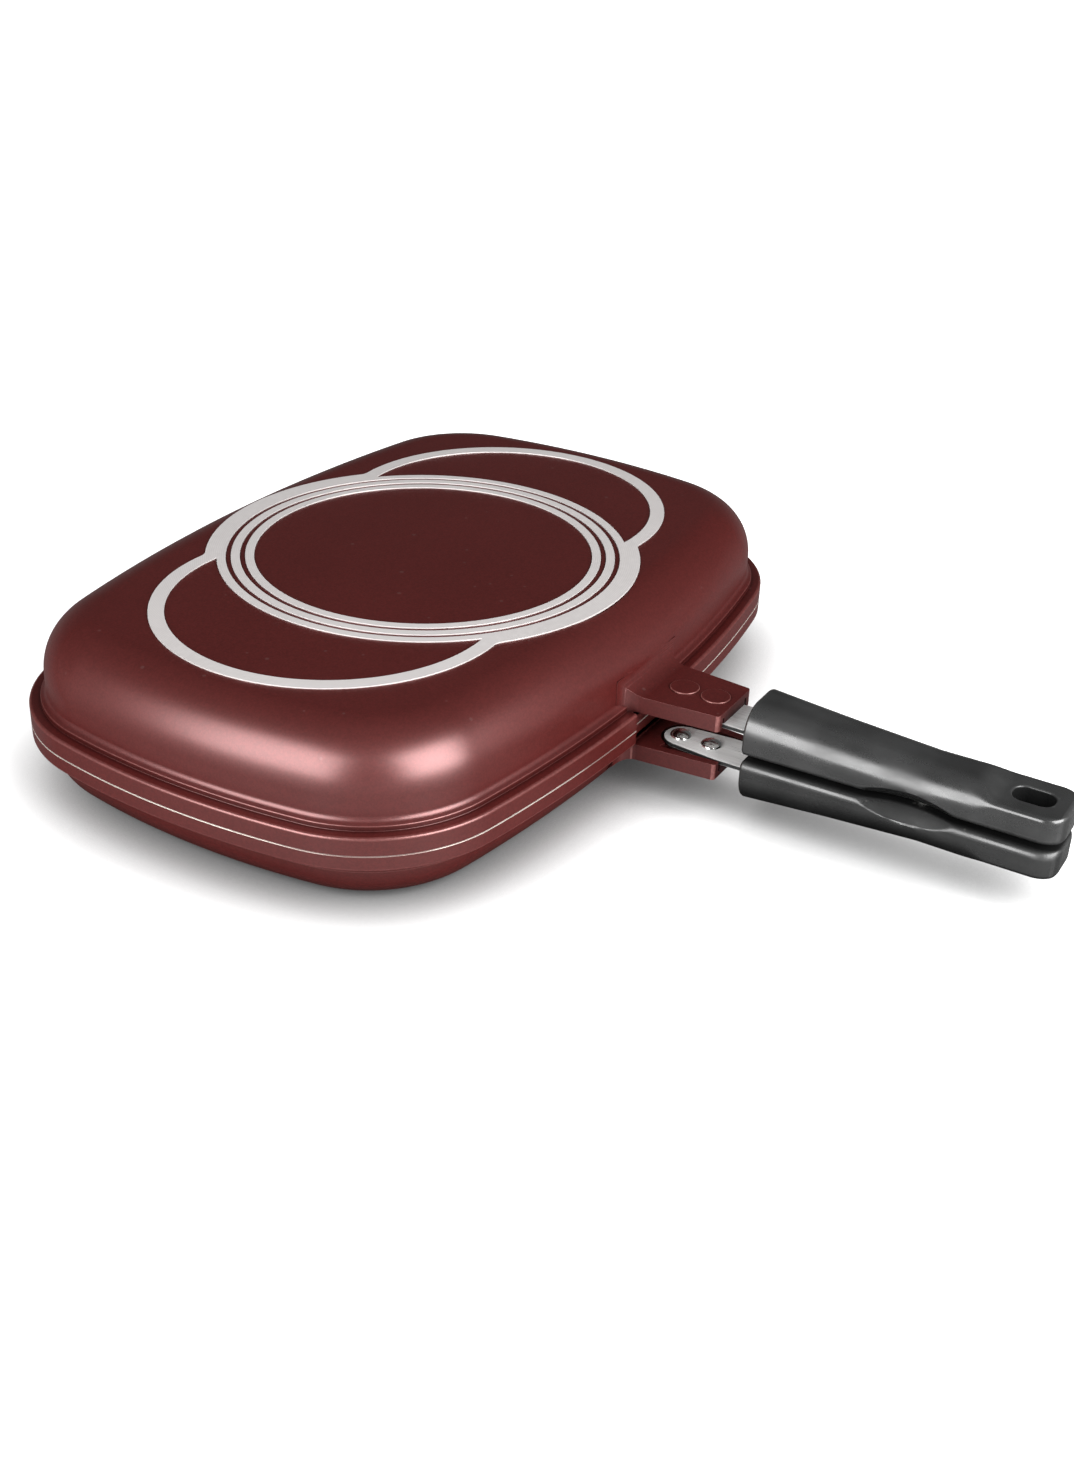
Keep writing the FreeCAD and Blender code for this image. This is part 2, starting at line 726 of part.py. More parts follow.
def rivet(half, which, place):
    """A drive rivet: a low round head on the strap and a shank that is blind in the lug."""
    name = "{}_rivet_{}".format(half, which)
    head = STRAP_FACE - mm.rivet_head_height
    end = mm.lug_inner_height + mm.rivet_seat_depth - mm.fit_clearance
    edge = mm.rivet_edge_radius
    body = turned(name + "_form", (
        (ZERO, head),
        (mm.rivet_head_radius - edge, head, (mm.rivet_head_radius - edge, head + edge), "left"),
        (mm.rivet_head_radius, head + edge),
        (mm.rivet_head_radius, STRAP_FACE),
        (mm.rivet_shank_radius, STRAP_FACE),
        (mm.rivet_shank_radius, end),
        (ZERO, end),
    ))
    return seat(body, name, half, y=-place)


def grip_section(body, name, distance, half_width, height, crown):
    """One cross-section of a grip: a flat face below and a rounded crown above."""
    sketch = new_sketch(body, name, "XZ_Plane", GRIP_FRONT + distance)
    top = GRIP_FACE + height
    draw_profile(sketch, (
        (-half_width, GRIP_FACE),
        (half_width, GRIP_FACE),
        (half_width, top - crown, (half_width - crown, top - crown), "left"),
        (half_width - crown, top),
        (crown - half_width, top, (crown - half_width, top - crown), "left"),
        (-half_width, top - crown),
    ))
    return sketch


def grip(half):
    """A moulded grip: a crowned bar with a low tail, hang slot, thumb scoops and its hidden sockets."""
    name = half + "_grip"
    body = new_body(name + "_form")
    front = (mm.grip_front_half_width, mm.grip_front_height, mm.grip_crown_radius)
    waist = (mm.grip_waist_half_width, mm.grip_waist_height, mm.grip_crown_radius)
    rear = (mm.grip_tail_half_width, mm.grip_neck_height, mm.grip_neck_radius)
    places = ((ZERO, front), (mm.grip_waist_place, waist), (mm.grip_neck_place, rear), (mm.grip_length, rear))
    sections = [grip_section(body, "{}_section_{}".format(name, index), place, *shape)
                for index, (place, shape) in enumerate(places, start=1)]
    loft = body.newObject("PartDesign::AdditiveLoft", name + "_bar")
    loft.Profile = sections[0]
    loft.Sections = sections[1:]
    loft.Ruled = True
    doc.recompute()

    # The step down to the tail is two equal arcs, one after the other
    neck = GRIP_FRONT + mm.grip_neck_place
    foot = neck + mm.grip_step_length
    neck_top, tail_top = GRIP_FACE + mm.grip_neck_height, GRIP_FACE + mm.grip_tail_height
    drop = neck_top - tail_top
    bend = (mm.grip_step_length * mm.grip_step_length + drop * drop) / (drop * 4)
    end = GRIP_FRONT + mm.grip_length
    step = new_sketch(body, name + "_step_side", "YZ_Plane")
    draw_profile(step, (
        (-neck, neck_top, (-neck, neck_top - bend), "left"),
        (-(neck + foot) / 2, (neck_top + tail_top) / 2, (-foot, tail_top + bend), "right"),
        (-foot, tail_top),
        (-(end + OVERRUN), tail_top),
        (-(end + OVERRUN), neck_top + OVERRUN),
        (-neck, neck_top + OVERRUN),
    ))
    pocket(body, step, name + "_step", (mm.grip_front_half_width + OVERRUN) * 2, symmetric=True)

    # Round ends, soft edges
    wide, curve = mm.grip_tail_half_width, mm.grip_tail_corner_radius
    corners = new_sketch(body, name + "_end_plan", "XY_Plane", GRIP_FACE)
    draw_profile(corners, (
        (wide - curve, -end, (wide - curve, curve - end), "left"),
        (wide, curve - end),
        (wide + OVERRUN, curve - end),
        (wide + OVERRUN, -(end + OVERRUN)),
        (wide - curve, -(end + OVERRUN)),
    ))
    draw_profile(corners, (
        (curve - wide, -end, (curve - wide, curve - end), "right"),
        (-wide, curve - end),
        (-(wide + OVERRUN), curve - end),
        (-(wide + OVERRUN), -(end + OVERRUN)),
        (curve - wide, -(end + OVERRUN)),
    ))
    pocket(body, corners, name + "_round_end", mm.grip_front_height, backwards=True)
    fillet(body, name + "_lower_edge", mm.grip_edge_radius, at_height(GRIP_FACE))

    # Hang slot, strap socket, screw and magnet pockets
    middle = end - mm.hang_slot_margin - mm.hang_slot_length / 2
    reach, side, bend = mm.hang_slot_length / 2, mm.hang_slot_width / 2, mm.hang_slot_corner
    slot = new_sketch(body, name + "_slot_plan", "XY_Plane", GRIP_FACE)
    draw_profile(slot, (
        (bend - side, -(middle + reach)),
        (side - bend, -(middle + reach), (side - bend, bend - middle - reach), "left"),
        (side, bend - middle - reach),
        (side, reach - middle - bend, (side - bend, reach - middle - bend), "left"),
        (side - bend, reach - middle),
        (bend - side, reach - middle, (bend - side, reach - middle - bend), "left"),
        (-side, reach - middle - bend),
        (-side, bend - middle - reach, (bend - side, bend - middle - reach), "left"),
    ))
    pocket(body, slot, name + "_slot", mm.grip_front_height, backwards=True)
    socket = new_sketch(body, name + "_socket_plan", "XY_Plane", STRAP_FACE - mm.fit_clearance)
    half_socket = mm.strap_width / 2 + mm.fit_clearance
    draw_profile(socket, (
        (-half_socket, -(TANG_END + mm.fit_clearance)),
        (half_socket, -(TANG_END + mm.fit_clearance)),
        (half_socket, OVERRUN - GRIP_FRONT),
        (-half_socket, OVERRUN - GRIP_FRONT),
    ))
    pocket(body, socket, name + "_socket", mm.strap_thickness + mm.fit_clearance * 2, backwards=True)
    screw_reach = STRAP_FACE - GRIP_FACE
    insert_reach = mm.insert_length + mm.fit_clearance * 2
    magnet_reach = MAGNET_FACE + mm.magnet_thickness + mm.fit_clearance - GRIP_FACE
    for part, radius, place, start, depth in (
            ("screw_head", mm.screw_head_radius, SCREW_PLACE, GRIP_FACE, mm.screw_recess_depth),
            ("screw", mm.screw_radius, SCREW_PLACE, GRIP_FACE, screw_reach),
            ("insert", mm.insert_radius, SCREW_PLACE, STRAP_BACK, insert_reach),
            ("magnet", mm.magnet_radius, MAGNET_PLACE, GRIP_FACE, magnet_reach)):
        hole = new_sketch(body, "{}_{}_plan".format(name, part), "XY_Plane", start)
        draw_circle(hole, (ZERO, -place), radius + mm.fit_clearance)
        pocket(body, hole, "{}_{}_hole".format(name, part), depth, backwards=True)

    # Thumb scoops across the two lower edges
    away = (mm.scoop_radius - mm.scoop_depth) * DIAGONAL
    half_span = mm.scoop_radius * DIAGONAL
    scoops = [cylinder("{}_scoop_{}".format(half, word), mm.scoop_radius, mm.scoop_radius * 2,
                       ((mm.grip_waist_half_width + away - half_span) * sign,
                        -(GRIP_FRONT + mm.scoop_place), GRIP_FACE - away - half_span), (sign, 0, 1))
              for word, sign in (("left", -1), ("right", 1))]
    return seat(cut(name, body, scoops), name, half)


def grip_screw(half):
    name = half + "_grip_screw"
    seat_height = GRIP_FACE + mm.screw_recess_depth
    head = seat_height - mm.screw_head_height
    end = STRAP_BACK + mm.insert_length - mm.screw_radius
    body = turned(name + "_form", (
        (ZERO, head),
        (mm.screw_head_radius, head),
        (mm.screw_head_radius, seat_height),
        (mm.screw_radius, seat_height),
        (mm.screw_radius, end),
        (ZERO, end),
    ))
    slot = new_sketch(body, name + "_slot_plan", "XY_Plane", head)
    length, width = mm.screw_head_radius + OVERRUN, mm.screw_slot_width / 2
    draw_profile(slot, ((-length, -width), (length, -width), (length, width), (-length, width)))
    pocket(body, slot, name + "_slot", mm.screw_slot_depth, backwards=True)
    return seat(body, name, half, y=-SCREW_PLACE)


def grip_insert(half):
    name = half + "_grip_insert"
    start = STRAP_BACK + mm.fit_clearance
    bore = mm.screw_radius + mm.fit_clearance
    body = turned(name + "_form", (
        (bore, start),
        (mm.insert_radius, start),
        (mm.insert_radius, start + mm.insert_length),
        (bore, start + mm.insert_length),
    ))
    return seat(body, name, half, y=-SCREW_PLACE)


def magnet(half):
    name = half + "_magnet"
    edge = mm.magnet_edge_radius
    top = MAGNET_FACE + mm.magnet_thickness
    body = turned(name + "_form", (
        (ZERO, MAGNET_FACE),
        (mm.magnet_radius - edge, MAGNET_FACE, (mm.magnet_radius - edge, MAGNET_FACE + edge), "left"),
        (mm.magnet_radius, MAGNET_FACE + edge),
        (mm.magnet_radius, top),
        (ZERO, top),
    ))
    return seat(body, name, half, y=-MAGNET_PLACE)


# Hinge pins, the silicone ring

def hinge_pin(side, half):
    """A headed pin with a groove near its end; the left one is the right one turned about Z."""
    inner = mm.hinge_half_spacing - HINGE_HALF_STACK
    outer = mm.hinge_half_spacing + HINGE_HALF_STACK + mm.fit_clearance
    groove = inner - mm.clip_thickness - mm.fit_clearance * 2
    tip = groove - mm.pin_end_length
    edge = mm.pin_chamfer
    dome = mm.pin_head_height / 2
    head = outer + mm.pin_head_height
    name = "hinge_pin_" + side
    body = turned(name + "_form", (
        (tip, ZERO),
        (head, ZERO),
        (head, mm.pin_head_radius - dome, (outer + dome, mm.pin_head_radius - dome), "left"),
        (outer + dome, mm.pin_head_radius),
        (outer, mm.pin_head_radius),
        (outer, mm.pin_radius),
        (inner, mm.pin_radius),
        (inner, mm.clip_groove_radius),
        (groove, mm.clip_groove_radius),
        (groove, mm.pin_radius),
        (tip + edge, mm.pin_radius),
        (tip, mm.pin_radius - edge),
    ), axis="H_Axis")
    return seat(body, name, half, y=HINGE_LINE, axis=(0, 0, 1))


def hinge_clip(side, half):
    name = "hinge_clip_" + side
    start = mm.hinge_half_spacing - HINGE_HALF_STACK - mm.clip_thickness - mm.fit_clearance
    below = -(mm.clip_outer_radius + OVERRUN)
    ring = cylinder(name + "_ring", mm.clip_outer_radius, mm.clip_thickness, (start, ZERO, ZERO), (1, 0, 0))
    bore = cylinder(name + "_bore", mm.clip_groove_radius + mm.fit_clearance,
                    mm.clip_thickness + OVERRUN * 2, (start - OVERRUN, ZERO, ZERO), (1, 0, 0))
    mouth = block(name + "_mouth", (start - OVERRUN, -mm.clip_mouth_width / 2, below),
                  (start + mm.clip_thickness + OVERRUN, mm.clip_mouth_width / 2, ZERO))
    return seat(cut(name, ring, [bore, mouth]), name, half, y=HINGE_LINE, axis=(0, 0, 1))


def seal_ring():
    top = SEAM - mm.seam_gap + mm.seal_top_clearance
    band = seal_ring_block("seal_ring_form", mm.seal_side_clearance, top,
                           SEAM + mm.seal_groove_depth - mm.fit_clearance)
    return seat(band, "seal_ring", "lower")


# All pieces

finished = [
    casting("lower", mm.lower_depth, mm.lower_rim_height, mm.lower_shoulder_radius, mm.lower_lug_sink),
    casting("upper", mm.upper_depth, mm.upper_rim_height, mm.upper_shoulder_radius, mm.upper_lug_sink),
    seal_ring(),
]
for half in ("lower", "upper"):
    finished += [strap(half), grip(half), grip_screw(half), grip_insert(half), magnet(half)]
    finished += [rivet(half, which, place) for which, place in zip(("inner", "outer"), RIVET_PLACES)]
for side, half in (("left", "lower"), ("right", "upper")):
    finished += [hinge_pin(side, half), hinge_clip(side, half)]

doc.recompute()
for item in doc.Objects:
    if "Invalid" in item.State or "Error" in item.State:
        raise RuntimeError("{} is {}".format(item.Name, item.State))
for item in finished:
    if item.Shape.isNull() or not item.Shape.isValid():
        raise RuntimeError(item.Label + " has no valid shape")

os.makedirs("parts", exist_ok=True)
for item in finished:
    item.Shape.exportStep("parts/{}.step".format(item.Label))
    print(item.Label, round(item.Shape.Volume), len(item.Shape.Solids))
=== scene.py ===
import bmesh
import bpy
import math
from mathutils import Matrix, Vector


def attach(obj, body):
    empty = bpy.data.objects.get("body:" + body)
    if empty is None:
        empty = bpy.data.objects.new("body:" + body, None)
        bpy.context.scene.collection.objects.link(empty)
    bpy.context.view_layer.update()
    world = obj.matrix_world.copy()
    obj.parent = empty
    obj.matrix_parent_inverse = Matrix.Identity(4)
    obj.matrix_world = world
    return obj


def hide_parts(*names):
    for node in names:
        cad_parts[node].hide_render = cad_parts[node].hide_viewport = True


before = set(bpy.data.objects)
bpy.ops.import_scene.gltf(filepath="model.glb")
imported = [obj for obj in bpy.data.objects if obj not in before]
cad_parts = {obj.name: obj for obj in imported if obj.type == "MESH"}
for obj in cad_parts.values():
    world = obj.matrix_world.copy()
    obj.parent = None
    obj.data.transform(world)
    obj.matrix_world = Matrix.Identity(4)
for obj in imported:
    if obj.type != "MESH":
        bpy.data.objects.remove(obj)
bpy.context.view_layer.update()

# The two cast shells: die-cast aluminium trays with a wide soft shoulder, a flat base, a stepped
# rim and a thin wall. They are coated maroon outside and non-stick inside; the meeting edges of
# the rims are machined bare. The same form serves both halves, at two depths.
MM = 0.001


def mm(*values):
    """Sizes that are written down in millimetres, in metres."""
    return [value * MM for value in values]


def in_mm(*points):
    """Points that are written down in millimetres, in metres."""
    return [mm(*point) for point in points]


HALF_LENGTH, HALF_WIDTH = mm(180, 125)
LONG_SIDE_RADIUS, SHORT_SIDE_RADIUS, CORNER_RADIUS = mm(708, 358, 66.6)
PARTING_HEIGHT, POINT_SPACING = mm(31, 2.6)
SEAM, BARE_EDGE = mm(0.05, 0.32)
WALL_INSET, WALL_THICKNESS, BASE_THICKNESS = mm(7.5, 3.2, 3.6)
STEP_INSET, STEP_RISE = mm(5, 2.4)
FOOT_TURN, FOOT_ROUND, LIP_ROUND, RIM_ROUND = 58, 2.8 * MM, 0.5 * MM, 1.2 * MM
NOTCH_HALF_WIDTH, NOTCH_DEPTH = mm(20.5, 3)
SEAL_INSET, SEAL_WIDTH, SEAL_DEPTH = mm(4.2, 3, 2.2)
HALVES = {
    "upper": {"depth": 45.2 * MM, "rim": 8.2 * MM, "shoulder": 24 * MM},
    "lower": {"depth": 30.5 * MM, "rim": 7.0 * MM, "shoulder": 21 * MM},
}


def arc(centre, radius, start, end, steps):
    """Points along an arc, both ends included, angles in degrees."""
    angles = [math.radians(start + (end - start) * i / steps) for i in range(steps + 1)]
    return [(centre[0] + radius * math.cos(a), centre[1] + radius * math.sin(a)) for a in angles]


def rim_arcs():
    """Centre, radius and angles of the eight arcs of the rim, anticlockwise from the right end."""
    long_centre, short_centre = LONG_SIDE_RADIUS - HALF_WIDTH, SHORT_SIDE_RADIUS - HALF_LENGTH
    long_reach, short_reach = LONG_SIDE_RADIUS - CORNER_RADIUS, SHORT_SIDE_RADIUS - CORNER_RADIUS
    apart = math.hypot(long_centre, short_centre)
    along = (long_reach ** 2 - short_reach ** 2 + apart ** 2) / (2 * apart)
    aside = math.sqrt(long_reach ** 2 - along ** 2)
    x = (aside * long_centre - along * short_centre) / apart
    y = (along * long_centre + aside * short_centre) / apart - long_centre
    end = math.degrees(math.atan2(y, x + short_centre))
    side = math.degrees(math.atan2(y + long_centre, x))
    half_way = [
        ((-short_centre, 0), SHORT_SIDE_RADIUS, -end, end),
        ((x, y), CORNER_RADIUS, end, side),
        ((0, -long_centre), LONG_SIDE_RADIUS, side, 180 - side),
        ((-x, y), CORNER_RADIUS, 180 - side, 180 - end)]
    return half_way + [((-x, -y), radius, start + 180, stop + 180)
                       for (x, y), radius, start, stop in half_way]


def rim_line():
    """Points of the rim seen from above; the front side has extra points at the notch's corners."""
    line = []
    for centre, radius, start, end in rim_arcs():
        steps = round(math.radians(end - start) * radius / POINT_SPACING)
        angles = [start + (end - start) * i / steps for i in range(steps)]
        if start < 270 < end:
            for x in (-NOTCH_HALF_WIDTH, NOTCH_HALF_WIDTH):
                for shift in (-0.3 * MM, 0, 0.3 * MM):
                    angles.append(270 + math.degrees(math.asin((x + shift) / radius)))
        line += [arc(centre, radius, a, a, 1)[0] for a in sorted(angles)]
    return line


def add_object(name, data):
    item = bpy.data.objects.new(name, data)
    bpy.context.scene.collection.objects.link(item)
    return item


def guide_line(name, lines, closed=True):
    """A curve of straight runs through the given points, for a tree to sweep or fill."""
    curve = bpy.data.curves.new(name, "CURVE")
    curve.dimensions = "3D"
    for points in lines:
        spline = curve.splines.new("POLY")
        spline.points.add(len(points) - 1)
        for point, place in zip(spline.points, points):
            point.co = (place[0], place[1], 0, 1)
        spline.use_cyclic_u = closed
    return add_object(name, curve)


def shell_section(depth, rim, shoulder, grooved):
    """The wall in section from base round to floor; the sweep takes inset and height as negative."""
    step = rim + STEP_RISE
    inside = WALL_INSET + WALL_THICKNESS
    floor = depth - BASE_THICKNESS
    hollow = shoulder - WALL_THICKNESS + 0.2 * MM
    line = [(WALL_INSET + shoulder + 2 * MM, depth)]
    line += arc((WALL_INSET + shoulder, depth - shoulder), shoulder, 90, 180, 20)
    across, down = math.cos(math.radians(FOOT_TURN)), math.sin(math.radians(FOOT_TURN))
    flat = WALL_INSET - STEP_INSET - (FOOT_ROUND + LIP_ROUND) * (1 - across)
    foot = step - LIP_ROUND * (1 - down) + flat * across / down + FOOT_ROUND * down
    line += arc((WALL_INSET - FOOT_ROUND, foot), FOOT_ROUND, 0, -FOOT_TURN, 7)
    line += arc((STEP_INSET + LIP_ROUND, step - LIP_ROUND), LIP_ROUND, 180 - FOOT_TURN, 180, 5)
    line += arc((STEP_INSET - 0.3 * MM, rim + 0.3 * MM), 0.3 * MM, 0, -90, 3)
    line += arc((RIM_ROUND, rim - RIM_ROUND), RIM_ROUND, 90, 180, 7)
    line += [(0, BARE_EDGE + 0.1 * MM), (0, BARE_EDGE)]
    line += arc((0.15 * MM, SEAM + 0.15 * MM), 0.15 * MM, 180, 270, 3)
    if grooved:
        for inset, heights in ((SEAL_INSET, (0, 1)), (SEAL_INSET + SEAL_WIDTH, (1, 0))):
            line += [(inset, SEAM + SEAL_DEPTH * share) for share in heights]
    line += arc((inside - 0.5 * MM, SEAM + 0.5 * MM), 0.5 * MM, 270, 360, 4)
    line += arc((inside + hollow, floor - hollow), hollow, 180, 90, 18)
    line += [(inside + hollow + 2 * MM, floor)]
    return [(-inset, -height) for inset, height in line]


def new_tree(name, inputs, kind="Geometry", outputs=("Geometry",)):
    """An empty group of geometry or shader nodes, and its way in and out."""
    tree = bpy.data.node_groups.new(name, kind + "NodeTree")
    result = "NodeSocket" + ("Geometry" if kind == "Geometry" else "Float")
    for label in outputs:
        tree.interface.new_socket(label, in_out="OUTPUT", socket_type=result)
    for label, socket in inputs.items():
        tree.interface.new_socket(label, in_out="INPUT", socket_type="NodeSocket" + socket)
    return tree, tree.nodes.new("NodeGroupInput").outputs, tree.nodes.new("NodeGroupOutput").inputs


def add_node(tree, kind, links=(), **settings):
    """Adds a node; each link fills the input of that name or number, from a socket or with a value."""
    node = tree.nodes.new(kind)
    for key, value in settings.items():
        setattr(node, key, value)
    for key, value in dict(links).items():
        if isinstance(value, bpy.types.NodeSocket):
            tree.links.new(value, node.inputs[key])
        else:
            node.inputs[key].default_value = value
    return node


def step(tree, kind, links=(), **settings):
    """Adds a node and gives back the first thing that it puts out."""
    return add_node(tree, kind, links, **settings).outputs[0]


def end_tree(tree, geometry, material, made):
    """The last steps of every tree: what it made becomes real and is given its material."""
    real = step(tree, "GeometryNodeRealizeInstances", {0: geometry})
    painted = step(tree, "GeometryNodeSetMaterial", {"Geometry": real, "Material": material})
    tree.links.new(painted, made[0])


def grow(name, tree, values):
    """Runs a tree on an empty mesh and keeps what it makes as a plain mesh."""
    item = add_object(name, bpy.data.meshes.new(name + "_start"))
    modifier = item.modifiers.new("grow", "NODES")
    names = {socket.name: socket.identifier
             for socket in tree.interface.items_tree if socket.in_out == "INPUT"}
    modifier.node_group = tree
    for label, value in values.items():
        modifier[names[label]] = value
    keep_result(item)
    return item


def keep_result(item):
    """Turns a piece with modifiers into a plain mesh."""
    item.data.update()
    bpy.context.view_layer.update()
    graph = bpy.context.evaluated_depsgraph_get()
    mesh = bpy.data.meshes.new_from_object(item.evaluated_get(graph), depsgraph=graph)
    item.modifiers.clear()
    item.data = mesh
    mesh.name = item.name


def set_values(node, values):
    for label, value in values.items():
        node.inputs[label.replace("_", " ")].default_value = value
    return node


def new_finish(name, **values):
    """A new material: the values that are the same all over are set on the shader's own sockets."""
    material = bpy.data.materials.new(name)
    material.use_nodes = True
    shader = set_values(material.node_tree.nodes["Principled BSDF"], values)
    return material, material.node_tree, shader


def new_effect(name, inputs, *outputs):
    """A shader group that several finishes share; it puts out plain values."""
    return new_tree(name, inputs, "Shader", outputs)


def apply_effect(tree, group, **values):
    return set_values(add_node(tree, "ShaderNodeGroup", node_tree=group), values).outputs


def mix_colours(tree, share, first, second):
    return add_node(tree, "ShaderNodeMix", {0: share, 6: first, 7: second}, data_type="RGBA").outputs[2]


def calculate(tree, operation, first, second=0.0):
    return step(tree, "ShaderNodeMath", {0: first, 1: second}, operation=operation)


def vector_step(tree, operation, first, second):
    return step(tree, "ShaderNodeVectorMath", {0: first, 1: second}, operation=operation)


def times(tree, first, second):
    return calculate(tree, "MULTIPLY", first, second)


def feed(sockets, **values):
    """Links values and colours to the sockets of those names."""
    for label, value in values.items():
        value.id_data.links.new(value, sockets[label.replace("_", " ")])


def object_place(tree):
    return add_node(tree, "ShaderNodeTexCoord").outputs["Object"]


def noise(tree, place, scale, detail):
    return step(tree, "ShaderNodeTexNoise", {"Vector": place, "Scale": scale, "Detail": detail})


def map_value(tree, value, low, high, start=0.0, end=1.0):
    """Carries a value from its range of start to end over to one of low to high."""
    return step(tree, "ShaderNodeMapRange", {
        "Value": value, "From Min": start, "From Max": end, "To Min": low, "To Max": high})


def vary(tree, value, low, high):
    """Spreads the usual range of a noise over one of low to high."""
    return map_value(tree, value, low, high, 0.3, 0.7)


def tint(tree, colour, tone):
    """A colour made lighter or darker by a tone about one."""
    grey = step(tree, "ShaderNodeCombineColor", {0: tone, 1: tone, 2: tone})
    return add_node(tree, "ShaderNodeMix", {0: 1.0, 6: colour, 7: grey},
                    data_type="RGBA", blend_type="MULTIPLY").outputs[2]


def relief(tree, height, depth, strength):
    """Fine relief from a height of nought to one, so many metres deep."""
    return step(tree, "ShaderNodeBump", {"Height": height, "Distance": depth, "Strength": strength})


def sheen(tree, start, end):
    """How strong a sheen is left: full seen head-on, weak at a slant."""
    aslant = add_node(tree, "ShaderNodeLayerWeight", {"Blend": 0.5}).outputs["Facing"]
    return map_value(tree, aslant, 1.0, 0.12, start, end)


def tidy_faces(item, weld=1e-6):
    """Merges doubled points, closes open ends and turns every face outward."""
    work = bmesh.new()
    work.from_mesh(item.data)
    bmesh.ops.remove_doubles(work, verts=work.verts, dist=weld)
    bmesh.ops.holes_fill(work, edges=[edge for edge in work.edges if edge.is_boundary])
    bmesh.ops.dissolve_degenerate(work, edges=work.edges, dist=weld)
    bmesh.ops.recalc_face_normals(work, faces=work.faces)
    work.to_mesh(item.data)
    work.free()


def smooth_faces(item, angle=35):
    """Soft shading that keeps flats flat and edges sharper than the angle crisp."""
    mesh = item.data
    mesh.polygons.foreach_set("use_smooth", [True] * len(mesh.polygons))
    mesh.set_sharp_from_angle(angle=math.radians(angle))
    weighted = item.modifiers.new("flats", "WEIGHTED_NORMAL")
    weighted.keep_sharp = True
    keep_result(item)


def keep_marks(item, name, marks):
    """Stores a value for each corner of each face, for the materials to read."""
    item.data.attributes.new(name, "FLOAT", "CORNER").data.foreach_set("value", marks)


def mark_edges(item, share):
    """Marks in the mesh the narrow faces that round its outer edges, where a finish wears and where a
    painted highlight is put.
    """
    work = bmesh.new()
    work.from_mesh(item.data)
    marks = []
    for face in work.faces:
        longest = max(edge.calc_length() for edge in face.edges)
        bend = max(edge.calc_face_angle_signed(0.0) for edge in face.edges)
        glinting_and_worn = face.calc_area() < 0.7 * MM * longest and bend > math.radians(8)
        marks += [share * glinting_and_worn] * len(face.verts)
    work.free()
    keep_marks(item, "edge", marks)


def hand_over(item, half, node=None):
    """Hands a placed piece over: ties it to the half it moves with and hides the solid that it stands
    for.
    """
    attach(item, half + "_half")
    if node:
        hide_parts(node)


def add_piece(item, half, node=None, glint_and_wear=0.0, angle=35):
    """Finishes a piece that was drawn outside up, seats it in the closed pan and hands it over."""
    smooth_faces(item, angle)
    if glint_and_wear:
        mark_edges(item, glint_and_wear)
    lift = Matrix.Translation((0, 0, PARTING_HEIGHT))
    item.data.transform(lift @ Matrix.Rotation(math.pi, 4, "Y") if half == "lower" else lift)
    hand_over(item, half, node)


tree, given, made = new_tree("swept rim form", {
    "Outline": "Object", "Section": "Object", "Notch half width": "Float", "Notch line": "Float",
    "Material": "Material"})
outline = add_node(tree, "GeometryNodeObjectInfo", {"Object": given["Outline"]})
section = add_node(tree, "GeometryNodeObjectInfo", {"Object": given["Section"]})
upright = step(tree, "GeometryNodeSetCurveNormal", {"Curve": outline.outputs["Geometry"]}, mode="Z_UP")
sweep = step(tree, "GeometryNodeCurveToMesh", {
    "Curve": upright, "Profile Curve": section.outputs["Geometry"]})
place = step(tree, "GeometryNodeInputPosition")
split = add_node(tree, "ShaderNodeSeparateXYZ", {0: place})
aside = step(tree, "ShaderNodeMath", {0: split.outputs["X"]}, operation="ABSOLUTE")
near = step(tree, "FunctionNodeCompare", {0: aside, 1: given["Notch half width"]}, operation="LESS_THAN")
beyond = step(
    tree, "FunctionNodeCompare", {0: split.outputs["Y"], 1: given["Notch line"]}, operation="LESS_THAN")
in_notch = step(tree, "FunctionNodeBooleanMath", {0: near, 1: beyond}, operation="AND")
pushed = step(tree, "ShaderNodeCombineXYZ", {
    "X": split.outputs["X"], "Y": given["Notch line"], "Z": split.outputs["Z"]})
notched = step(tree, "GeometryNodeSetPosition", {
    "Geometry": sweep, "Selection": in_notch, "Position": pushed})
end_tree(tree, notched, given["Material"], made)
sweep_tree = tree

tree, given, made = new_effect(
    "uneven coat", {"Grain scale": "Float", "Patch scale": "Float"}, "Grain", "Flake", "Patch")
place = object_place(tree)
grain = noise(tree, place, given["Grain scale"], 3.0)
flake = add_node(tree, "ShaderNodeTexVoronoi", {"Vector": place, "Scale": given["Grain scale"]})
flake_tone = step(tree, "ShaderNodeSeparateColor", {0: flake.outputs["Color"]})
patch = noise(tree, place, given["Patch scale"], 2.0)
feed(made, Grain=grain, Flake=flake_tone, Patch=patch)
uneven_coat = tree

# A mask on the marked rounded edges, broken up by noise: real wear on some finishes, and a painted
# highlight along the edges on the maroon coat and the steel straps.
tree, given, made = new_effect("edge wear", {"Scale": "Float", "Amount": "Float"}, "Mask")
place = object_place(tree)
edge = add_node(tree, "ShaderNodeAttribute", attribute_name="edge").outputs["Fac"]
edge_breakup = noise(tree, place, given["Scale"], 4.0)
edge_breakup = map_value(tree, edge_breakup, 0.6, 1.0, 0.42, 0.62)
glinting_and_worn = times(tree, times(tree, edge_breakup, edge), given["Amount"])
feed(made, Mask=glinting_and_worn)
edge_glint_and_wear = tree

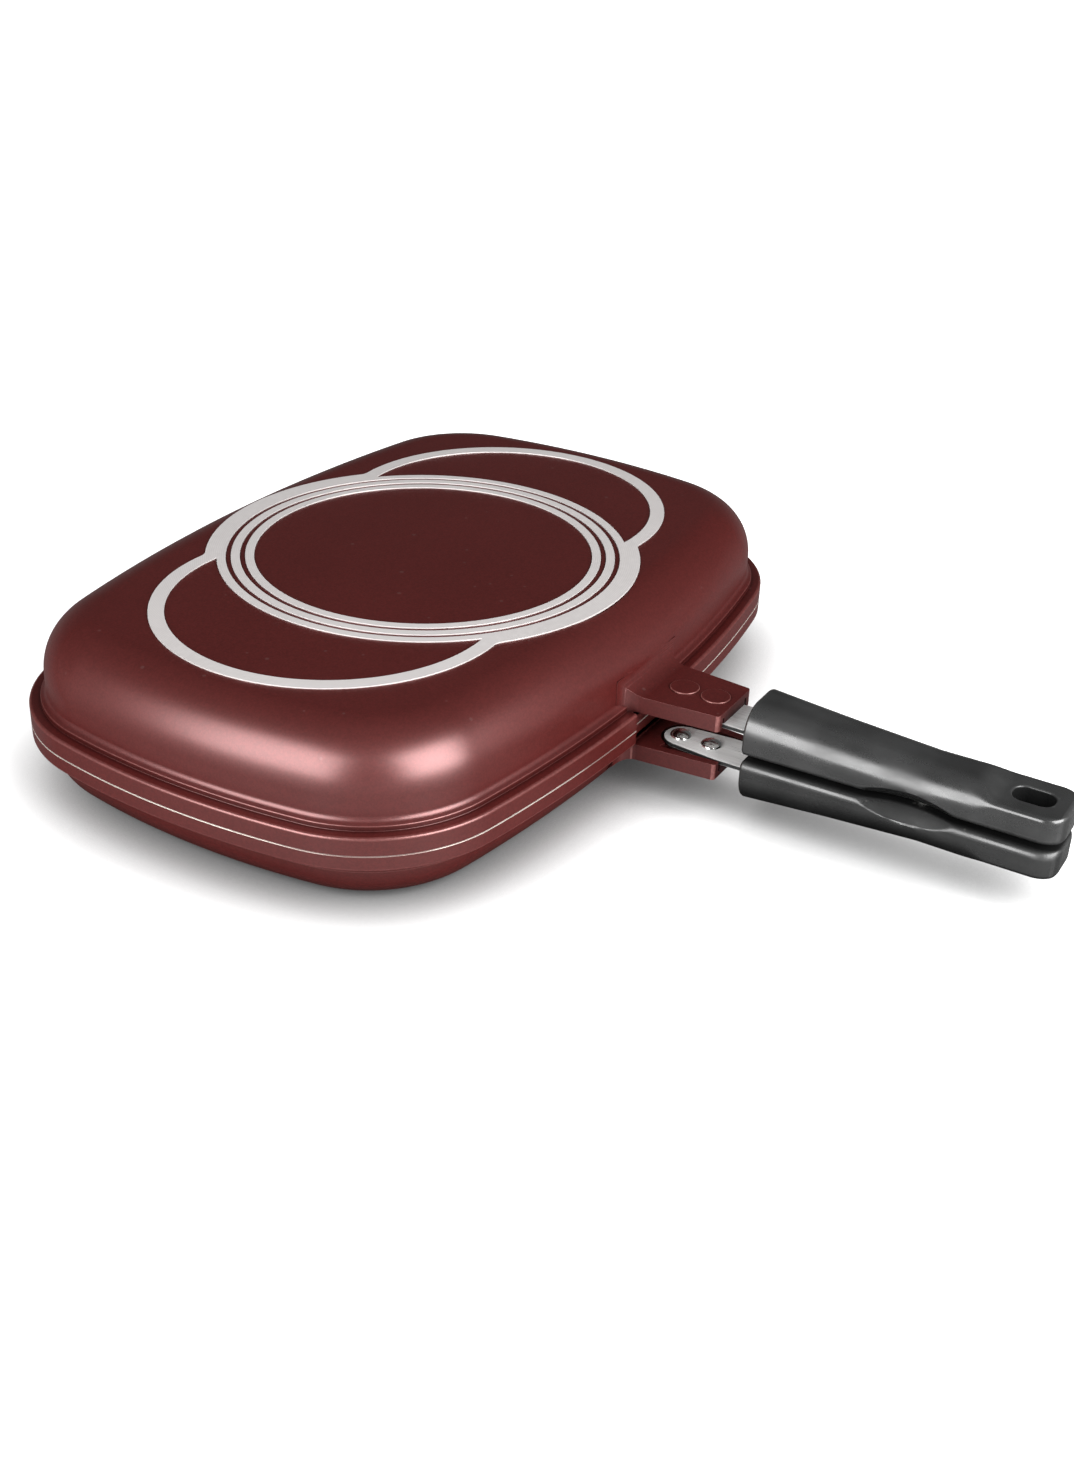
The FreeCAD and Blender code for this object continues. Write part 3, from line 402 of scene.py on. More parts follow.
dust, given, made = new_effect("dust", {"Scale": "Float", "Amount": "Float"}, "Mask")
coordinates = add_node(dust, "ShaderNodeTexCoord").outputs
up = add_node(dust, "ShaderNodeSeparateXYZ", {0: coordinates["Normal"]}).outputs["Z"]
speck = add_node(dust, "ShaderNodeTexVoronoi", {"Vector": coordinates["Object"], "Scale": given["Scale"]})
speck_size = step(dust, "ShaderNodeSeparateColor", {0: speck.outputs["Color"]})
speck_size = map_value(dust, speck_size, 0.0, 0.16, 0.8, 1.0)
speck_mask = calculate(dust, "LESS_THAN", speck.outputs["Distance"], speck_size)
lying = times(dust, speck_mask, calculate(dust, "MAXIMUM", up))
feed(made, Mask=times(dust, lying, given["Amount"]))

corner_shade, given, made = new_effect("corner shade", {"Reach": "Float", "Depth": "Float"}, "Mask")
open_air = add_node(corner_shade, "ShaderNodeAmbientOcclusion", {"Distance": given["Reach"]}, samples=8)
feed(made, Mask=calculate(corner_shade, "POWER", open_air.outputs["AO"], given["Depth"]))

maroon, tree, shader = new_finish("maroon_coating", Coat_Roughness=0.33, Coat_IOR=1.6)
satin = sheen(tree, 0.2, 0.55)
shade = apply_effect(tree, corner_shade, Reach=5 * MM, Depth=1.6)["Mask"]
coat = apply_effect(tree, uneven_coat, Grain_scale=1500.0, Patch_scale=16.0)
glint_and_wear = apply_effect(tree, edge_glint_and_wear, Scale=700.0, Amount=0.55)["Mask"]
lint = apply_effect(tree, dust, Scale=160.0, Amount=0.06)["Mask"]
bare = add_node(tree, "ShaderNodeAttribute", attribute_name="bare").outputs["Fac"]
bare = times(tree, bare, map_value(tree, coat["Patch"], 0.3, 1.0, 0.36, 0.5))
colour = mix_colours(tree, coat["Patch"], (0.11, 0.0175, 0.0158, 1), (0.138, 0.0225, 0.0203, 1))
colour = tint(tree, colour, map_value(tree, coat["Flake"], 0.86, 1.14))
# Lighter maroon on the marked rounded edges is a painted highlight along the edges.
colour = mix_colours(tree, glint_and_wear, colour, (0.55, 0.22, 0.2, 1))
colour = mix_colours(tree, lint, colour, (0.6, 0.57, 0.54, 1))
colour = mix_colours(tree, bare, colour, (0.95, 0.86, 0.78, 1))
coat_left = times(tree, satin, map_value(tree, shade, 0.0, 0.68, 0.3, 0.9))
feed(shader.inputs, Base_Color=tint(tree, colour, map_value(tree, shade, 0.22, 1.0, 0.2, 0.85)),
     Specular_IOR_Level=times(tree, satin, 0.8), Metallic=map_value(tree, bare, 0.55, 0.7),
     Coat_Weight=times(tree, coat_left, map_value(tree, bare, 1.0, 0.0)),
     Roughness=vary(tree, coat["Grain"], 0.32, 0.42),
     Normal=relief(tree, coat["Grain"], 0.03 * MM, 0.5))

non_stick, tree, shader = new_finish("non_stick_coating", Specular_IOR_Level=0.45)
coat = apply_effect(tree, uneven_coat, Grain_scale=1100.0, Patch_scale=22.0)
fleck = calculate(tree, "GREATER_THAN", coat["Flake"], 0.93)
colour = mix_colours(tree, coat["Patch"], (0.018, 0.018, 0.019, 1), (0.032, 0.031, 0.031, 1))
colour = mix_colours(tree, fleck, colour, (0.24, 0.235, 0.23, 1))
feed(shader.inputs, Base_Color=colour, Roughness=vary(tree, coat["Grain"], 0.34, 0.56),
     Normal=relief(tree, coat["Grain"], 0.05 * MM, 0.7))

rim_guide = guide_line("rim_guide", [rim_line()])
for half, facts in HALVES.items():
    section_points = shell_section(facts["depth"], facts["rim"], facts["shoulder"], half == "lower")
    guide = guide_line(half + "_section_guide", [section_points], closed=False)
    shell = grow(half + "_shell", sweep_tree, {
        "Outline": rim_guide, "Section": guide, "Notch half width": NOTCH_HALF_WIDTH + 0.1 * MM,
        "Notch line": NOTCH_DEPTH - HALF_WIDTH, "Material": maroon})
    bpy.data.objects.remove(guide)
    tidy_faces(shell)
    shell.data.materials.clear()
    for material in (maroon, non_stick):
        shell.data.materials.append(material)
    bare_faces = []
    for face in shell.data.polygons:
        face.material_index = int(face.normal.dot(face.center) < 0)
        top = max(shell.data.vertices[i].co.z for i in face.vertices)
        bare_faces += [float(top < BARE_EDGE + 0.02 * MM)] * len(face.vertices)
    keep_marks(shell, "bare", bare_faces)
    add_piece(shell, half, half + "_pan", glint_and_wear=0.3)

# The machined rings on the bases: three round ones and a band that opens into a lobe on either
# side, left proud in the casting and turned bare after coating, so the base stands flat.
RING_HEIGHT = 0.5 * MM
RING_RADII = mm(76.9, 80.9, 83.3, 87.3, 89.6, 93.6)
BAND_RADIUS, LOBE_CENTRE, LOBE_CORNER = mm(98.9, 68.2, 6)
LOBE_INNER, LOBE_OUTER = mm(71.4, 78.2)


def crossing(first, second, apart):
    """Where two circles cross, the second one's centre apart along X; the upper point."""
    x = (first ** 2 - second ** 2 + apart ** 2) / (2 * apart)
    return x, math.sqrt(first ** 2 - x ** 2)


def bearing(place, centre=0.0):
    return math.degrees(math.atan2(place[1], place[0] - centre))


def band_outline():
    """The band's outer edge: two lobes, and the round band between them, with rounded corners."""
    corner = crossing(BAND_RADIUS + LOBE_CORNER, LOBE_OUTER + LOBE_CORNER, LOBE_CENTRE)
    lobe, band = bearing(corner, LOBE_CENTRE), bearing(corner)
    right = arc((LOBE_CENTRE, 0), LOBE_OUTER, -lobe, lobe, 72)
    right += arc(corner, LOBE_CORNER, lobe + 180, band + 180, 5)[1:]
    top = arc((0, 0), BAND_RADIUS, band, 180 - band, 24)[1:]
    left = [(-x, y) for x, y in reversed(arc(corner, LOBE_CORNER, lobe + 180, band + 180, 5))]
    half_line = right + top + left[1:]
    line = half_line + [(-x, -y) for x, y in half_line]
    kept = [line[0]]
    for point in line[1:]:
        if math.dist(point, kept[-1]) > 0.05 * MM and math.dist(point, kept[0]) > 0.05 * MM:
            kept.append(point)
    return kept


def crescent(side):
    """The painted hollow between the third ring and a lobe's inner edge."""
    tip = crossing(RING_RADII[5], LOBE_INNER, LOBE_CENTRE)
    lobe, ring = bearing(tip, LOBE_CENTRE), bearing(tip)
    line = arc((LOBE_CENTRE, 0), LOBE_INNER, -lobe, lobe, 64)
    line += arc((0, 0), RING_RADII[5], ring, -ring, 48)[1:-1]
    return [(x * side, y * side) for x, y in line]


def round_edges(item, width, segments=3, angle=40, corners="ARC"):
    """Rounds every edge sharper than the angle."""
    soften = item.modifiers.new("edge", "BEVEL")
    soften.width = width
    soften.segments = segments
    soften.angle_limit = math.radians(angle)
    soften.miter_outer = "MITER_" + corners
    keep_result(item)


tree, given, made = new_tree("raised rings", {
    "Loops": "Object", "Level": "Float", "Rise": "Float", "Material": "Material"})
loops = add_node(tree, "GeometryNodeObjectInfo", {"Object": given["Loops"]})
flat = step(tree, "GeometryNodeFillCurve", {"Curve": loops.outputs["Geometry"]}, mode="NGONS")
raised = step(tree, "GeometryNodeExtrudeMesh", {
    "Mesh": flat, "Offset Scale": given["Rise"], "Individual": False})
lift = step(tree, "ShaderNodeCombineXYZ", {"Z": given["Level"]})
placed = step(tree, "GeometryNodeTransform", {"Geometry": raised, "Translation": lift})
end_tree(tree, placed, given["Material"], made)
ring_tree = tree

tree, given, made = new_effect(
    "turning marks", {"Scale": "Float", "Centre": "Vector"}, "Marks", "Chatter")
place = vector_step(tree, "SUBTRACT", object_place(tree), given["Centre"])
marks = add_node(tree, "ShaderNodeTexWave", {
    "Vector": place, "Scale": given["Scale"], "Distortion": 0.6, "Detail": 1.0},
    wave_type="RINGS", rings_direction="Z")
chatter = noise(tree, place, given["Scale"], 3.0)
feed(made, Marks=marks.outputs["Fac"], Chatter=chatter)
turning_marks = tree

turned_aluminium, tree, shader = new_finish("turned_aluminium", Metallic=0.3)
cut = apply_effect(tree, turning_marks, Scale=340.0)
coat = apply_effect(tree, uneven_coat, Grain_scale=700.0, Patch_scale=24.0)
colour = mix_colours(tree, coat["Patch"], (0.68, 0.645, 0.635, 1), (0.75, 0.715, 0.705, 1))
feed(shader.inputs, Base_Color=tint(tree, colour, map_value(tree, cut["Marks"], 0.95, 1.03)),
     Roughness=vary(tree, cut["Chatter"], 0.34, 0.52),
     Normal=relief(tree, cut["Marks"], 0.015 * MM, 0.6))
circles = [arc((0, 0), radius, 0, 357.5, 143) for radius in RING_RADII[:5]]
ring_guide = guide_line("ring_guide", circles + [band_outline(), crescent(1), crescent(-1)])
for half, facts in HALVES.items():
    rings = grow(half + "_base_rings", ring_tree, {
        "Loops": ring_guide, "Level": facts["depth"] - 0.2 * MM, "Rise": RING_HEIGHT + 0.2 * MM,
        "Material": turned_aluminium})
    round_edges(rings, 0.12 * MM, 2, 60, "SHARP")
    add_piece(rings, half)

# The handle lugs: flat plates cast with each half. Seen from above they flare into the wall, and
# from the side they ramp up into the shoulder. Two low round bosses mark the rivets on top.
LUG_OUTER, LUG_INNER, LUG_FRONT = mm(15.5, 8, 160.3)
STRAP_WIDTH, STRAP_BACK, STRAP_TIP, CHANNEL_GAP = mm(21, 10, 129, 1.2)
LUG_FRONT_HALF_WIDTH, LUG_ROOT_HALF_WIDTH = mm(15.6, 18.6)
FLARE_RADIUS, RAMP_RADIUS = mm(8, 9.5)
WALL_LINE = HALF_WIDTH - WALL_INSET
RIVET_PLACES = mm(136.2, 151.1)
BOSS_RADIUS, BOSS_HEIGHT = mm(6.5, 0.6)
HOLLOW_PLAN = in_mm((7.4, -134), (13.9, -133), (11.3, -162), (10.2, -162))


def new_piece(name, work, material):
    """A piece from finished mesh work, with its material."""
    mesh = bpy.data.meshes.new(name)
    work.to_mesh(mesh)
    work.free()
    mesh.materials.append(material)
    return add_object(name, mesh)


def prism(name, outline, low, high, material, along="Z"):
    """A straight prism of an outline; along X, the outline gives Y and Z."""
    work = bmesh.new()
    base = [work.verts.new((x, y, low) if along == "Z" else (low, x, y)) for x, y in outline]
    face = work.faces.new(base)
    top = bmesh.ops.extrude_face_region(work, geom=[face])
    shift = Vector((0, 0, high - low)) if along == "Z" else Vector((high - low, 0, 0))
    raised = [part for part in top["geom"] if isinstance(part, bmesh.types.BMVert)]
    bmesh.ops.translate(work, verts=raised, vec=shift)
    bmesh.ops.recalc_face_normals(work, faces=work.faces)
    return new_piece(name, work, material)


def carve(item, tool, operation="DIFFERENCE"):
    """Cuts the tool's shape out of a piece or keeps what both share, and drops the tool."""
    cut = item.modifiers.new("carve", "BOOLEAN")
    cut.operation = operation
    cut.object = tool
    cut.solver = "EXACT"
    keep_result(item)
    bpy.data.objects.remove(tool)


for half, facts in HALVES.items():
    wall = WALL_LINE - 0.3 * MM
    flare_start, flare_out = wall + FLARE_RADIUS, LUG_ROOT_HALF_WIDTH + FLARE_RADIUS
    round_place, round_height = WALL_LINE - facts["shoulder"], facts["depth"] - facts["shoulder"]
    round_reach = facts["shoulder"] - 0.15 * MM
    ramp_height = LUG_OUTER + RAMP_RADIUS
    between, climb = round_reach + RAMP_RADIUS, ramp_height - round_height
    along = math.sqrt(between ** 2 - climb ** 2)
    ramp_start, touch = round_place + along, round_place + round_reach * along / between
    top = round_height + round_reach * climb / between
    inside = touch - 1.6 * MM
    right_side = [(flare_out, -inside)] + arc((flare_out, -flare_start), FLARE_RADIUS, 90, 180, 14)
    right_side += arc((LUG_FRONT_HALF_WIDTH - 1.5 * MM, 1.5 * MM - LUG_FRONT), 1.5 * MM, 0, -90, 5)
    plan = right_side + [(-x, y) for x, y in reversed(right_side)]
    lug = prism(half + "_lug", plan, 4.7 * MM, top, maroon)
    sweep_end = math.degrees(math.atan2(top - ramp_height, ramp_start - touch))
    ramp = arc((-ramp_start, ramp_height), RAMP_RADIUS, -90, sweep_end, 16)
    in_wall, rise = facts["shoulder"] - WALL_THICKNESS / 2, math.degrees(math.atan2(climb, along))
    side = [(-LUG_FRONT - 5 * MM, LUG_INNER), (-HALF_WIDTH + NOTCH_DEPTH, LUG_INNER),
            (-HALF_WIDTH + NOTCH_DEPTH, 4 * MM), (-round_place - in_wall, 4 * MM)]
    side += arc((-round_place, round_height), in_wall, 180, 180 - rise, 12)
    side += list(reversed(ramp)) + [(-LUG_FRONT - 5 * MM, LUG_OUTER)]
    carve(lug, prism("lug_side", side, -40 * MM, 40 * MM, maroon, "X"), "INTERSECT")
    reach = STRAP_WIDTH / 2 + CHANNEL_GAP
    channel = arc((0, -STRAP_TIP - STRAP_WIDTH / 2), reach, 0, 180, 30) + [(-reach, -0.2), (reach, -0.2)]
    carve(lug, prism("channel", channel, 0, STRAP_BACK, maroon))
    for side in (-1, 1):
        hollow = [(side * x, y) for x, y in HOLLOW_PLAN]
        carve(lug, prism("hollow", hollow, 0, STRAP_BACK + 3 * MM, maroon))
    tidy_faces(lug, 5e-6)
    round_edges(lug, 0.6 * MM, 3, 50)
    for number, place in enumerate(RIVET_PLACES, start=1):
        boss = prism("{}_lug_boss_{}".format(half, number), arc((0, -place), BOSS_RADIUS, 0, 354, 59),
                     LUG_OUTER - MM, LUG_OUTER + BOSS_HEIGHT, maroon)
        round_edges(boss, 0.4 * MM, 3)
        add_piece(boss, half, glint_and_wear=1.0)
    add_piece(lug, half, glint_and_wear=1.0)

# The hinge at the back: one wide ear on the upper half between two narrow ones on the lower, on
# either side, cast with the rims and bored for a pin.
HINGE_LINE, KNUCKLE_RADIUS, BORE_RADIUS = mm(139, 6.5, 2.58)
EAR_EDGES = {"upper": ((67, 83),), "lower": ((59.6, 66.6), (83.4, 90.4))}
for half, facts in HALVES.items():
    profile = [(WALL_LINE, 0.4 * MM)] + arc((HINGE_LINE, 0), KNUCKLE_RADIUS, 176.5, 450, 44)
    profile += [(WALL_LINE, facts["rim"] - 0.6 * MM)]
    for start, end in EAR_EDGES[half]:
        for side, low, high in (("right", start, end), ("left", -end, -start)):
            name = "{}_ear_{}_{}".format(half, side, int(start))
            ear = prism(name, profile, low * MM, high * MM, maroon, "X")
            bore_circle = arc((HINGE_LINE, 0), BORE_RADIUS, 0, 350, 35)
            carve(ear, prism("bore", bore_circle, (low - 2) * MM, (high + 2) * MM, maroon, "X"))
            round_edges(ear, 0.5 * MM, 3, 50)
            add_piece(ear, half, glint_and_wear=1.0)

# The grill ribs on the floor of the lower half: a row of straight round-ended bars of aluminium,
# cast with the shell and under the same non-stick coating.
RIB_PITCH, RIB_COUNT, RIB_WIDTH, RIB_HEIGHT, RIB_REACH = 14 * MM, 19, 4 * MM, 1.8 * MM, 74 * MM
tree, given, made = new_tree("row of ribs", {
    "Rib": "Object", "Count": "Int", "Pitch": "Float", "Start": "Float", "Material": "Material"})
rib_in = add_node(tree, "GeometryNodeObjectInfo", {"Object": given["Rib"]})
start_place = step(tree, "ShaderNodeCombineXYZ", {"X": given["Start"]})
step_place = step(tree, "ShaderNodeCombineXYZ", {"X": given["Pitch"]})
row = step(tree, "GeometryNodeMeshLine", {
    "Count": given["Count"], "Start Location": start_place, "Offset": step_place})
ribs_on = step(tree, "GeometryNodeInstanceOnPoints", {
    "Points": row, "Instance": rib_in.outputs["Geometry"]})
end_tree(tree, ribs_on, given["Material"], made)
rib_tree = tree

floor = HALVES["lower"]["depth"] - BASE_THICKNESS
tip = RIB_REACH - RIB_WIDTH / 2
rib_outline = arc((0, tip), RIB_WIDTH / 2, 0, 180, 12) + arc((0, -tip), RIB_WIDTH / 2, 180, 360, 12)
rib = prism("rib", rib_outline, floor - RIB_HEIGHT, floor + 0.5 * MM, non_stick)
round_edges(rib, 0.7 * MM, 4)
ribs = grow("grill_ribs", rib_tree, {
    "Rib": rib, "Count": RIB_COUNT, "Pitch": RIB_PITCH, "Start": -RIB_PITCH * (RIB_COUNT - 1) / 2,
    "Material": non_stick})
bpy.data.objects.remove(rib)
add_piece(ribs, "lower")

# The seal: a ring of soft dark silicone, moulded in one piece and pressed into the groove of the
# lower rim, so that the upper rim shuts on it.
silicone, tree, shader = new_finish("silicone_seal", Specular_IOR_Level=0.4)
coat = apply_effect(tree, uneven_coat, Grain_scale=900.0, Patch_scale=40.0)
lint = apply_effect(tree, dust, Scale=240.0, Amount=0.5)["Mask"]
colour = mix_colours(tree, coat["Patch"], (0.026, 0.025, 0.025, 1), (0.042, 0.04, 0.039, 1))
feed(shader.inputs, Base_Color=mix_colours(tree, lint, colour, (0.3, 0.29, 0.27, 1)),
     Roughness=vary(tree, coat["Grain"], 0.58, 0.8),
     Normal=relief(tree, coat["Grain"], 0.04 * MM, 0.6))
near_side, far_side = SEAL_INSET + 0.1 * MM, SEAL_INSET + SEAL_WIDTH - 0.1 * MM
face, back = 0.1 * MM, 2.35 * MM
seal_section = arc((far_side - 0.6 * MM, face + 0.6 * MM), 0.6 * MM, 0, -90, 4)
seal_section += arc((near_side + 0.6 * MM, face + 0.6 * MM), 0.6 * MM, 270, 180, 4)
seal_section += [(near_side, back), (far_side, back)]
guide = guide_line("seal_section_guide", [[(-inset, -height) for inset, height in seal_section]])
seal = grow("seal", sweep_tree, {"Outline": rim_guide, "Section": guide, "Material": silicone})
bpy.data.objects.remove(guide)
bpy.data.objects.remove(rim_guide)
bpy.data.objects.remove(ring_guide)
tidy_faces(seal)
add_piece(seal, "lower", "seal_ring")

# The straps: flat bars of stainless steel with one rounded end, riveted under the lugs, that
# carry the grips.
STRAP_FACE, STRAP_END, STRAP_SHOULDER, STRAP_TIP_RADIUS = mm(8, 219.5, 157, 8.6)
tree, given, made = new_effect("brushed lines", {"Stretch": "Vector"}, "Lines", "Stain")
place = object_place(tree)
drawn = vector_step(tree, "MULTIPLY", place, given["Stretch"])
lines = noise(tree, drawn, 1.0, 4.0)
stain = noise(tree, place, 60.0, 2.0)
feed(made, Lines=lines, Stain=stain)
brushed_lines = tree

steel, tree, shader = new_finish("stainless_strap", Metallic=0.2)
brush = apply_effect(tree, brushed_lines, Stretch=(2600.0, 45.0, 2600.0))
glint_and_wear = apply_effect(tree, edge_glint_and_wear, Scale=300.0, Amount=0.5)["Mask"]
colour = mix_colours(tree, brush["Stain"], (0.9, 0.9, 0.89, 1), (0.98, 0.98, 0.97, 1))
colour = tint(tree, colour, vary(tree, brush["Lines"], 0.86, 1.12))
# The upright sides of the bars are painted near black as painted shade, and the lighter rounded edges
# between them and the flat faces are a painted highlight line.
facing = add_node(tree, "ShaderNodeTexCoord").outputs["Normal"]
faces_up = add_node(tree, "ShaderNodeSeparateXYZ", {0: facing}).outputs["Z"]
painted_side_shade = map_value(tree, calculate(tree, "ABSOLUTE", faces_up), 1.0, 0.0, 0.25, 0.75)
colour = mix_colours(tree, painted_side_shade, colour, (0.035, 0.035, 0.035, 1))
feed(shader.inputs, Base_Color=mix_colours(tree, glint_and_wear, colour, (0.85, 0.85, 0.84, 1)),
     Roughness=vary(tree, brush["Lines"], 0.26, 0.42),
     Normal=relief(tree, brush["Lines"], 0.01 * MM, 0.5))
for half in HALVES:
    side = STRAP_WIDTH / 2
    bar = arc((0, -STRAP_TIP - STRAP_TIP_RADIUS), STRAP_TIP_RADIUS, 0, 180, 36)
    bar += [(-side, -STRAP_SHOULDER), (-side, -STRAP_END), (side, -STRAP_END), (side, -STRAP_SHOULDER)]
    strap = prism(half + "_bar", bar, STRAP_FACE, STRAP_BACK, steel)
    round_edges(strap, 0.25 * MM, 2)
    add_piece(strap, half, half + "_strap", glint_and_wear=1.0)

# The rivets: turned steel rivets with a low polished round head, driven through each strap into
# its lug, two to a strap.
RIVET_RADIUS, RIVET_HEAD_RADIUS, RIVET_HEAD_HEIGHT, RIVET_END = mm(2.4, 4.9, 2.2, 13.5)


def turned(name, profile, material, steps=48):
    """A turned piece about Z: the profile gives radius and height, from the axis round to the axis."""
    work = bmesh.new()
    rows = []
    for radius, height in profile:
        if radius == 0:
            rows.append([work.verts.new((0, 0, height))])
        else:
            turns = [2 * math.pi * i / steps for i in range(steps)]
            row = [(radius * math.cos(turn), radius * math.sin(turn), height) for turn in turns]
            rows.append([work.verts.new(point) for point in row])
    for lower, upper in zip(rows, rows[1:]):
        for i in range(steps):
            j = (i + 1) % steps
            corners = [row[at % len(row)] for row, at in ((lower, i), (lower, j), (upper, j), (upper, i))]
            distinct = list(dict.fromkeys(corners))
            if len(distinct) > 2:
                work.faces.new(distinct)
    bmesh.ops.recalc_face_normals(work, faces=work.faces)
    return new_piece(name, work, material)


rivet_steel, tree, shader = new_finish("polished_rivet", Metallic=1.0)
cut = apply_effect(tree, turning_marks, Scale=500.0)
feed(shader.inputs, Base_Color=tint(tree, (0.88, 0.88, 0.87, 1), vary(tree, cut["Chatter"], 0.9, 1.1)),
     Roughness=vary(tree, cut["Chatter"], 0.1, 0.24),
     Normal=relief(tree, cut["Chatter"], 0.01 * MM, 0.4))

rivet_profile = [(RIVET_HEAD_RADIUS * x, STRAP_FACE + RIVET_HEAD_HEIGHT * z)
                 for x, z in arc((0, 0), 1, -90, 0, 15)]
rivet_profile[0] = (0, STRAP_FACE - RIVET_HEAD_HEIGHT)
rivet_profile += [(RIVET_RADIUS, STRAP_FACE), (RIVET_RADIUS, RIVET_END), (0, RIVET_END)]
for half in HALVES:
    for which, place in zip(("inner", "outer"), RIVET_PLACES):
        rivet = turned("{}_rivet_{}_head".format(half, which), rivet_profile, rivet_steel)
        rivet.data.transform(Matrix.Translation((0, -place, 0)))
        add_piece(rivet, half, "{}_rivet_{}".format(half, which))

# The grips: compression-moulded dark grey bars, crowned outside and flat inside, waisted, with a
# low tail for the hang slot and a thumb scoop across either inner edge.
GRIP_FRONT, GRIP_LENGTH, GRIP_FACE = mm(172.2, 134.8, 1.5)
GRIP_EDGE, GRIP_NECK, TAIL_CORNER, TAIL_HEIGHT = mm(3.2, 96.5, 9, 12.5)
FRONT_ROUND, REAR_ROUND, GRIP_STEPS = 1.3 * MM, 2 * MM, 96
SCOOP_RADIUS, SCOOP_DEPTH, SCOOP_PLACE = mm(67, 4.3, 72.3)
SLOT_BACK, SLOT_REACH, SLOT_SIDE, SLOT_CORNER, SLOT_FLARE = mm(16.3, 8.5, 6, 5, 0.8)
SCREW_PLACE, RECESS_RADIUS, RECESS_DEPTH = mm(205.5, 4.1, 2.6)
# Along the grip: distance, half width, height above the inner face, crown radius
GRIP_FORM = in_mm((0, 17.5, 21.3, 12.5), (38.6, 16.45, 18.9, 12.5), (77.3, 15.6, 16.8, 12),
                  (96.5, 15.4, 16.5, 10.5), (108, 15.3, 12.5, 2.2), (134.8, 15.2, 12.5, 2.2))


def grip_shape(distance):
    """Half width, height and crown radius of a grip at a distance from its front."""
    for start, end in zip(GRIP_FORM, GRIP_FORM[1:]):
        if distance <= end[0]:
            share = (distance - start[0]) / (end[0] - start[0])
            if start[0] >= GRIP_NECK - MM:
                share = share * share * (3 - 2 * share)
            return [a + (b - a) * share for a, b in zip(start[1:], end[1:])]
    return GRIP_FORM[-1][1:]


def grip_section(distance, round_end):
    """Points of one cross-section, from the middle of the inner face round and back."""
    half_width, height, crown = grip_shape(distance)
    left = GRIP_LENGTH - distance
    if left < TAIL_CORNER:
        half_width -= TAIL_CORNER - math.sqrt(max(TAIL_CORNER ** 2 - (TAIL_CORNER - left) ** 2, 0))
    low, high, wide = GRIP_FACE + round_end, GRIP_FACE + height - round_end, half_width - round_end
    edge, crown = max(GRIP_EDGE - round_end, 0.2 * MM), max(crown - round_end, 0.2 * MM)
    crown = min(crown, wide - 0.3 * MM, high - low - edge - 0.2 * MM)
    right = [((wide - edge) * i / 16, low) for i in range(16)]
    right += arc((wide - edge, low + edge), edge, -90, 0, 8)
    side_low, side_high = low + edge, high - crown
    right += [(wide, side_low + (side_high - side_low) * i / 12) for i in range(1, 12)]
    right += arc((wide - crown, high - crown), crown, 0, 90, 16)
    right += [((wide - crown) * (1 - i / 6), high) for i in range(1, 6)]
    from_middle = min(abs(distance - SCOOP_PLACE), SCOOP_RADIUS)
    scoop = SCOOP_DEPTH - (SCOOP_RADIUS - math.sqrt(SCOOP_RADIUS ** 2 - from_middle ** 2))
    limit = (half_width - GRIP_FACE) / math.sqrt(2) - scoop
    points = []
    for x, z in right:
        reach = (x - z) / math.sqrt(2)
        over = reach - limit
        soft = 0.25 * MM
        back = over if over > soft else ((over + soft) ** 2 / (4 * soft) if over > -soft else 0)
        points.append((x - back / math.sqrt(2), z + back / math.sqrt(2)))
    return points + [(0, high)] + [(-x, z) for x, z in reversed(points[1:])]


def loft(name, rows, material):
    """A closed skin over rows of points, with as many in each, and a flat face at either end."""
    work = bmesh.new()
    rows = [[work.verts.new(point) for point in row] for row in rows]
    for first, second in zip(rows, rows[1:]):
        for i in range(len(first)):
            j = (i + 1) % len(first)
            work.faces.new((first[i], first[j], second[j], second[i]))
    work.faces.new(rows[0])
    work.faces.new(rows[-1])
    bmesh.ops.recalc_face_normals(work, faces=work.faces)
    return new_piece(name, work, material)


def rounding(radius, angles):
    """Along a rounded edge: how far in from the end, and how far short of the full width."""
    turns = [math.radians(angle) for angle in angles]
    return [(radius * (1 - math.cos(turn)), radius * (1 - math.sin(turn))) for turn in turns]


def slot_cutter(middle, low, high):
    """A rounded oblong cutter that flares at both faces, so the slot's edges come out rounded."""
    side, reach = SLOT_SIDE - SLOT_CORNER, SLOT_REACH - SLOT_CORNER
    corners = ((side, reach, 0), (-side, reach, 90), (-side, -reach, 180), (side, -reach, 270))
    levels = [(low - 2 * MM, SLOT_FLARE)]
    levels += [(low + depth, spread) for depth, spread in rounding(SLOT_FLARE, range(12, 91, 13))]
    levels += [(low + high - z, spread) for z, spread in reversed(levels)]
    return loft("slot", [[(*point, z) for x, y, turn in corners
                          for point in arc((x, middle + y), SLOT_CORNER + spread, turn, turn + 90, 8)]
                         for z, spread in levels], moulding)


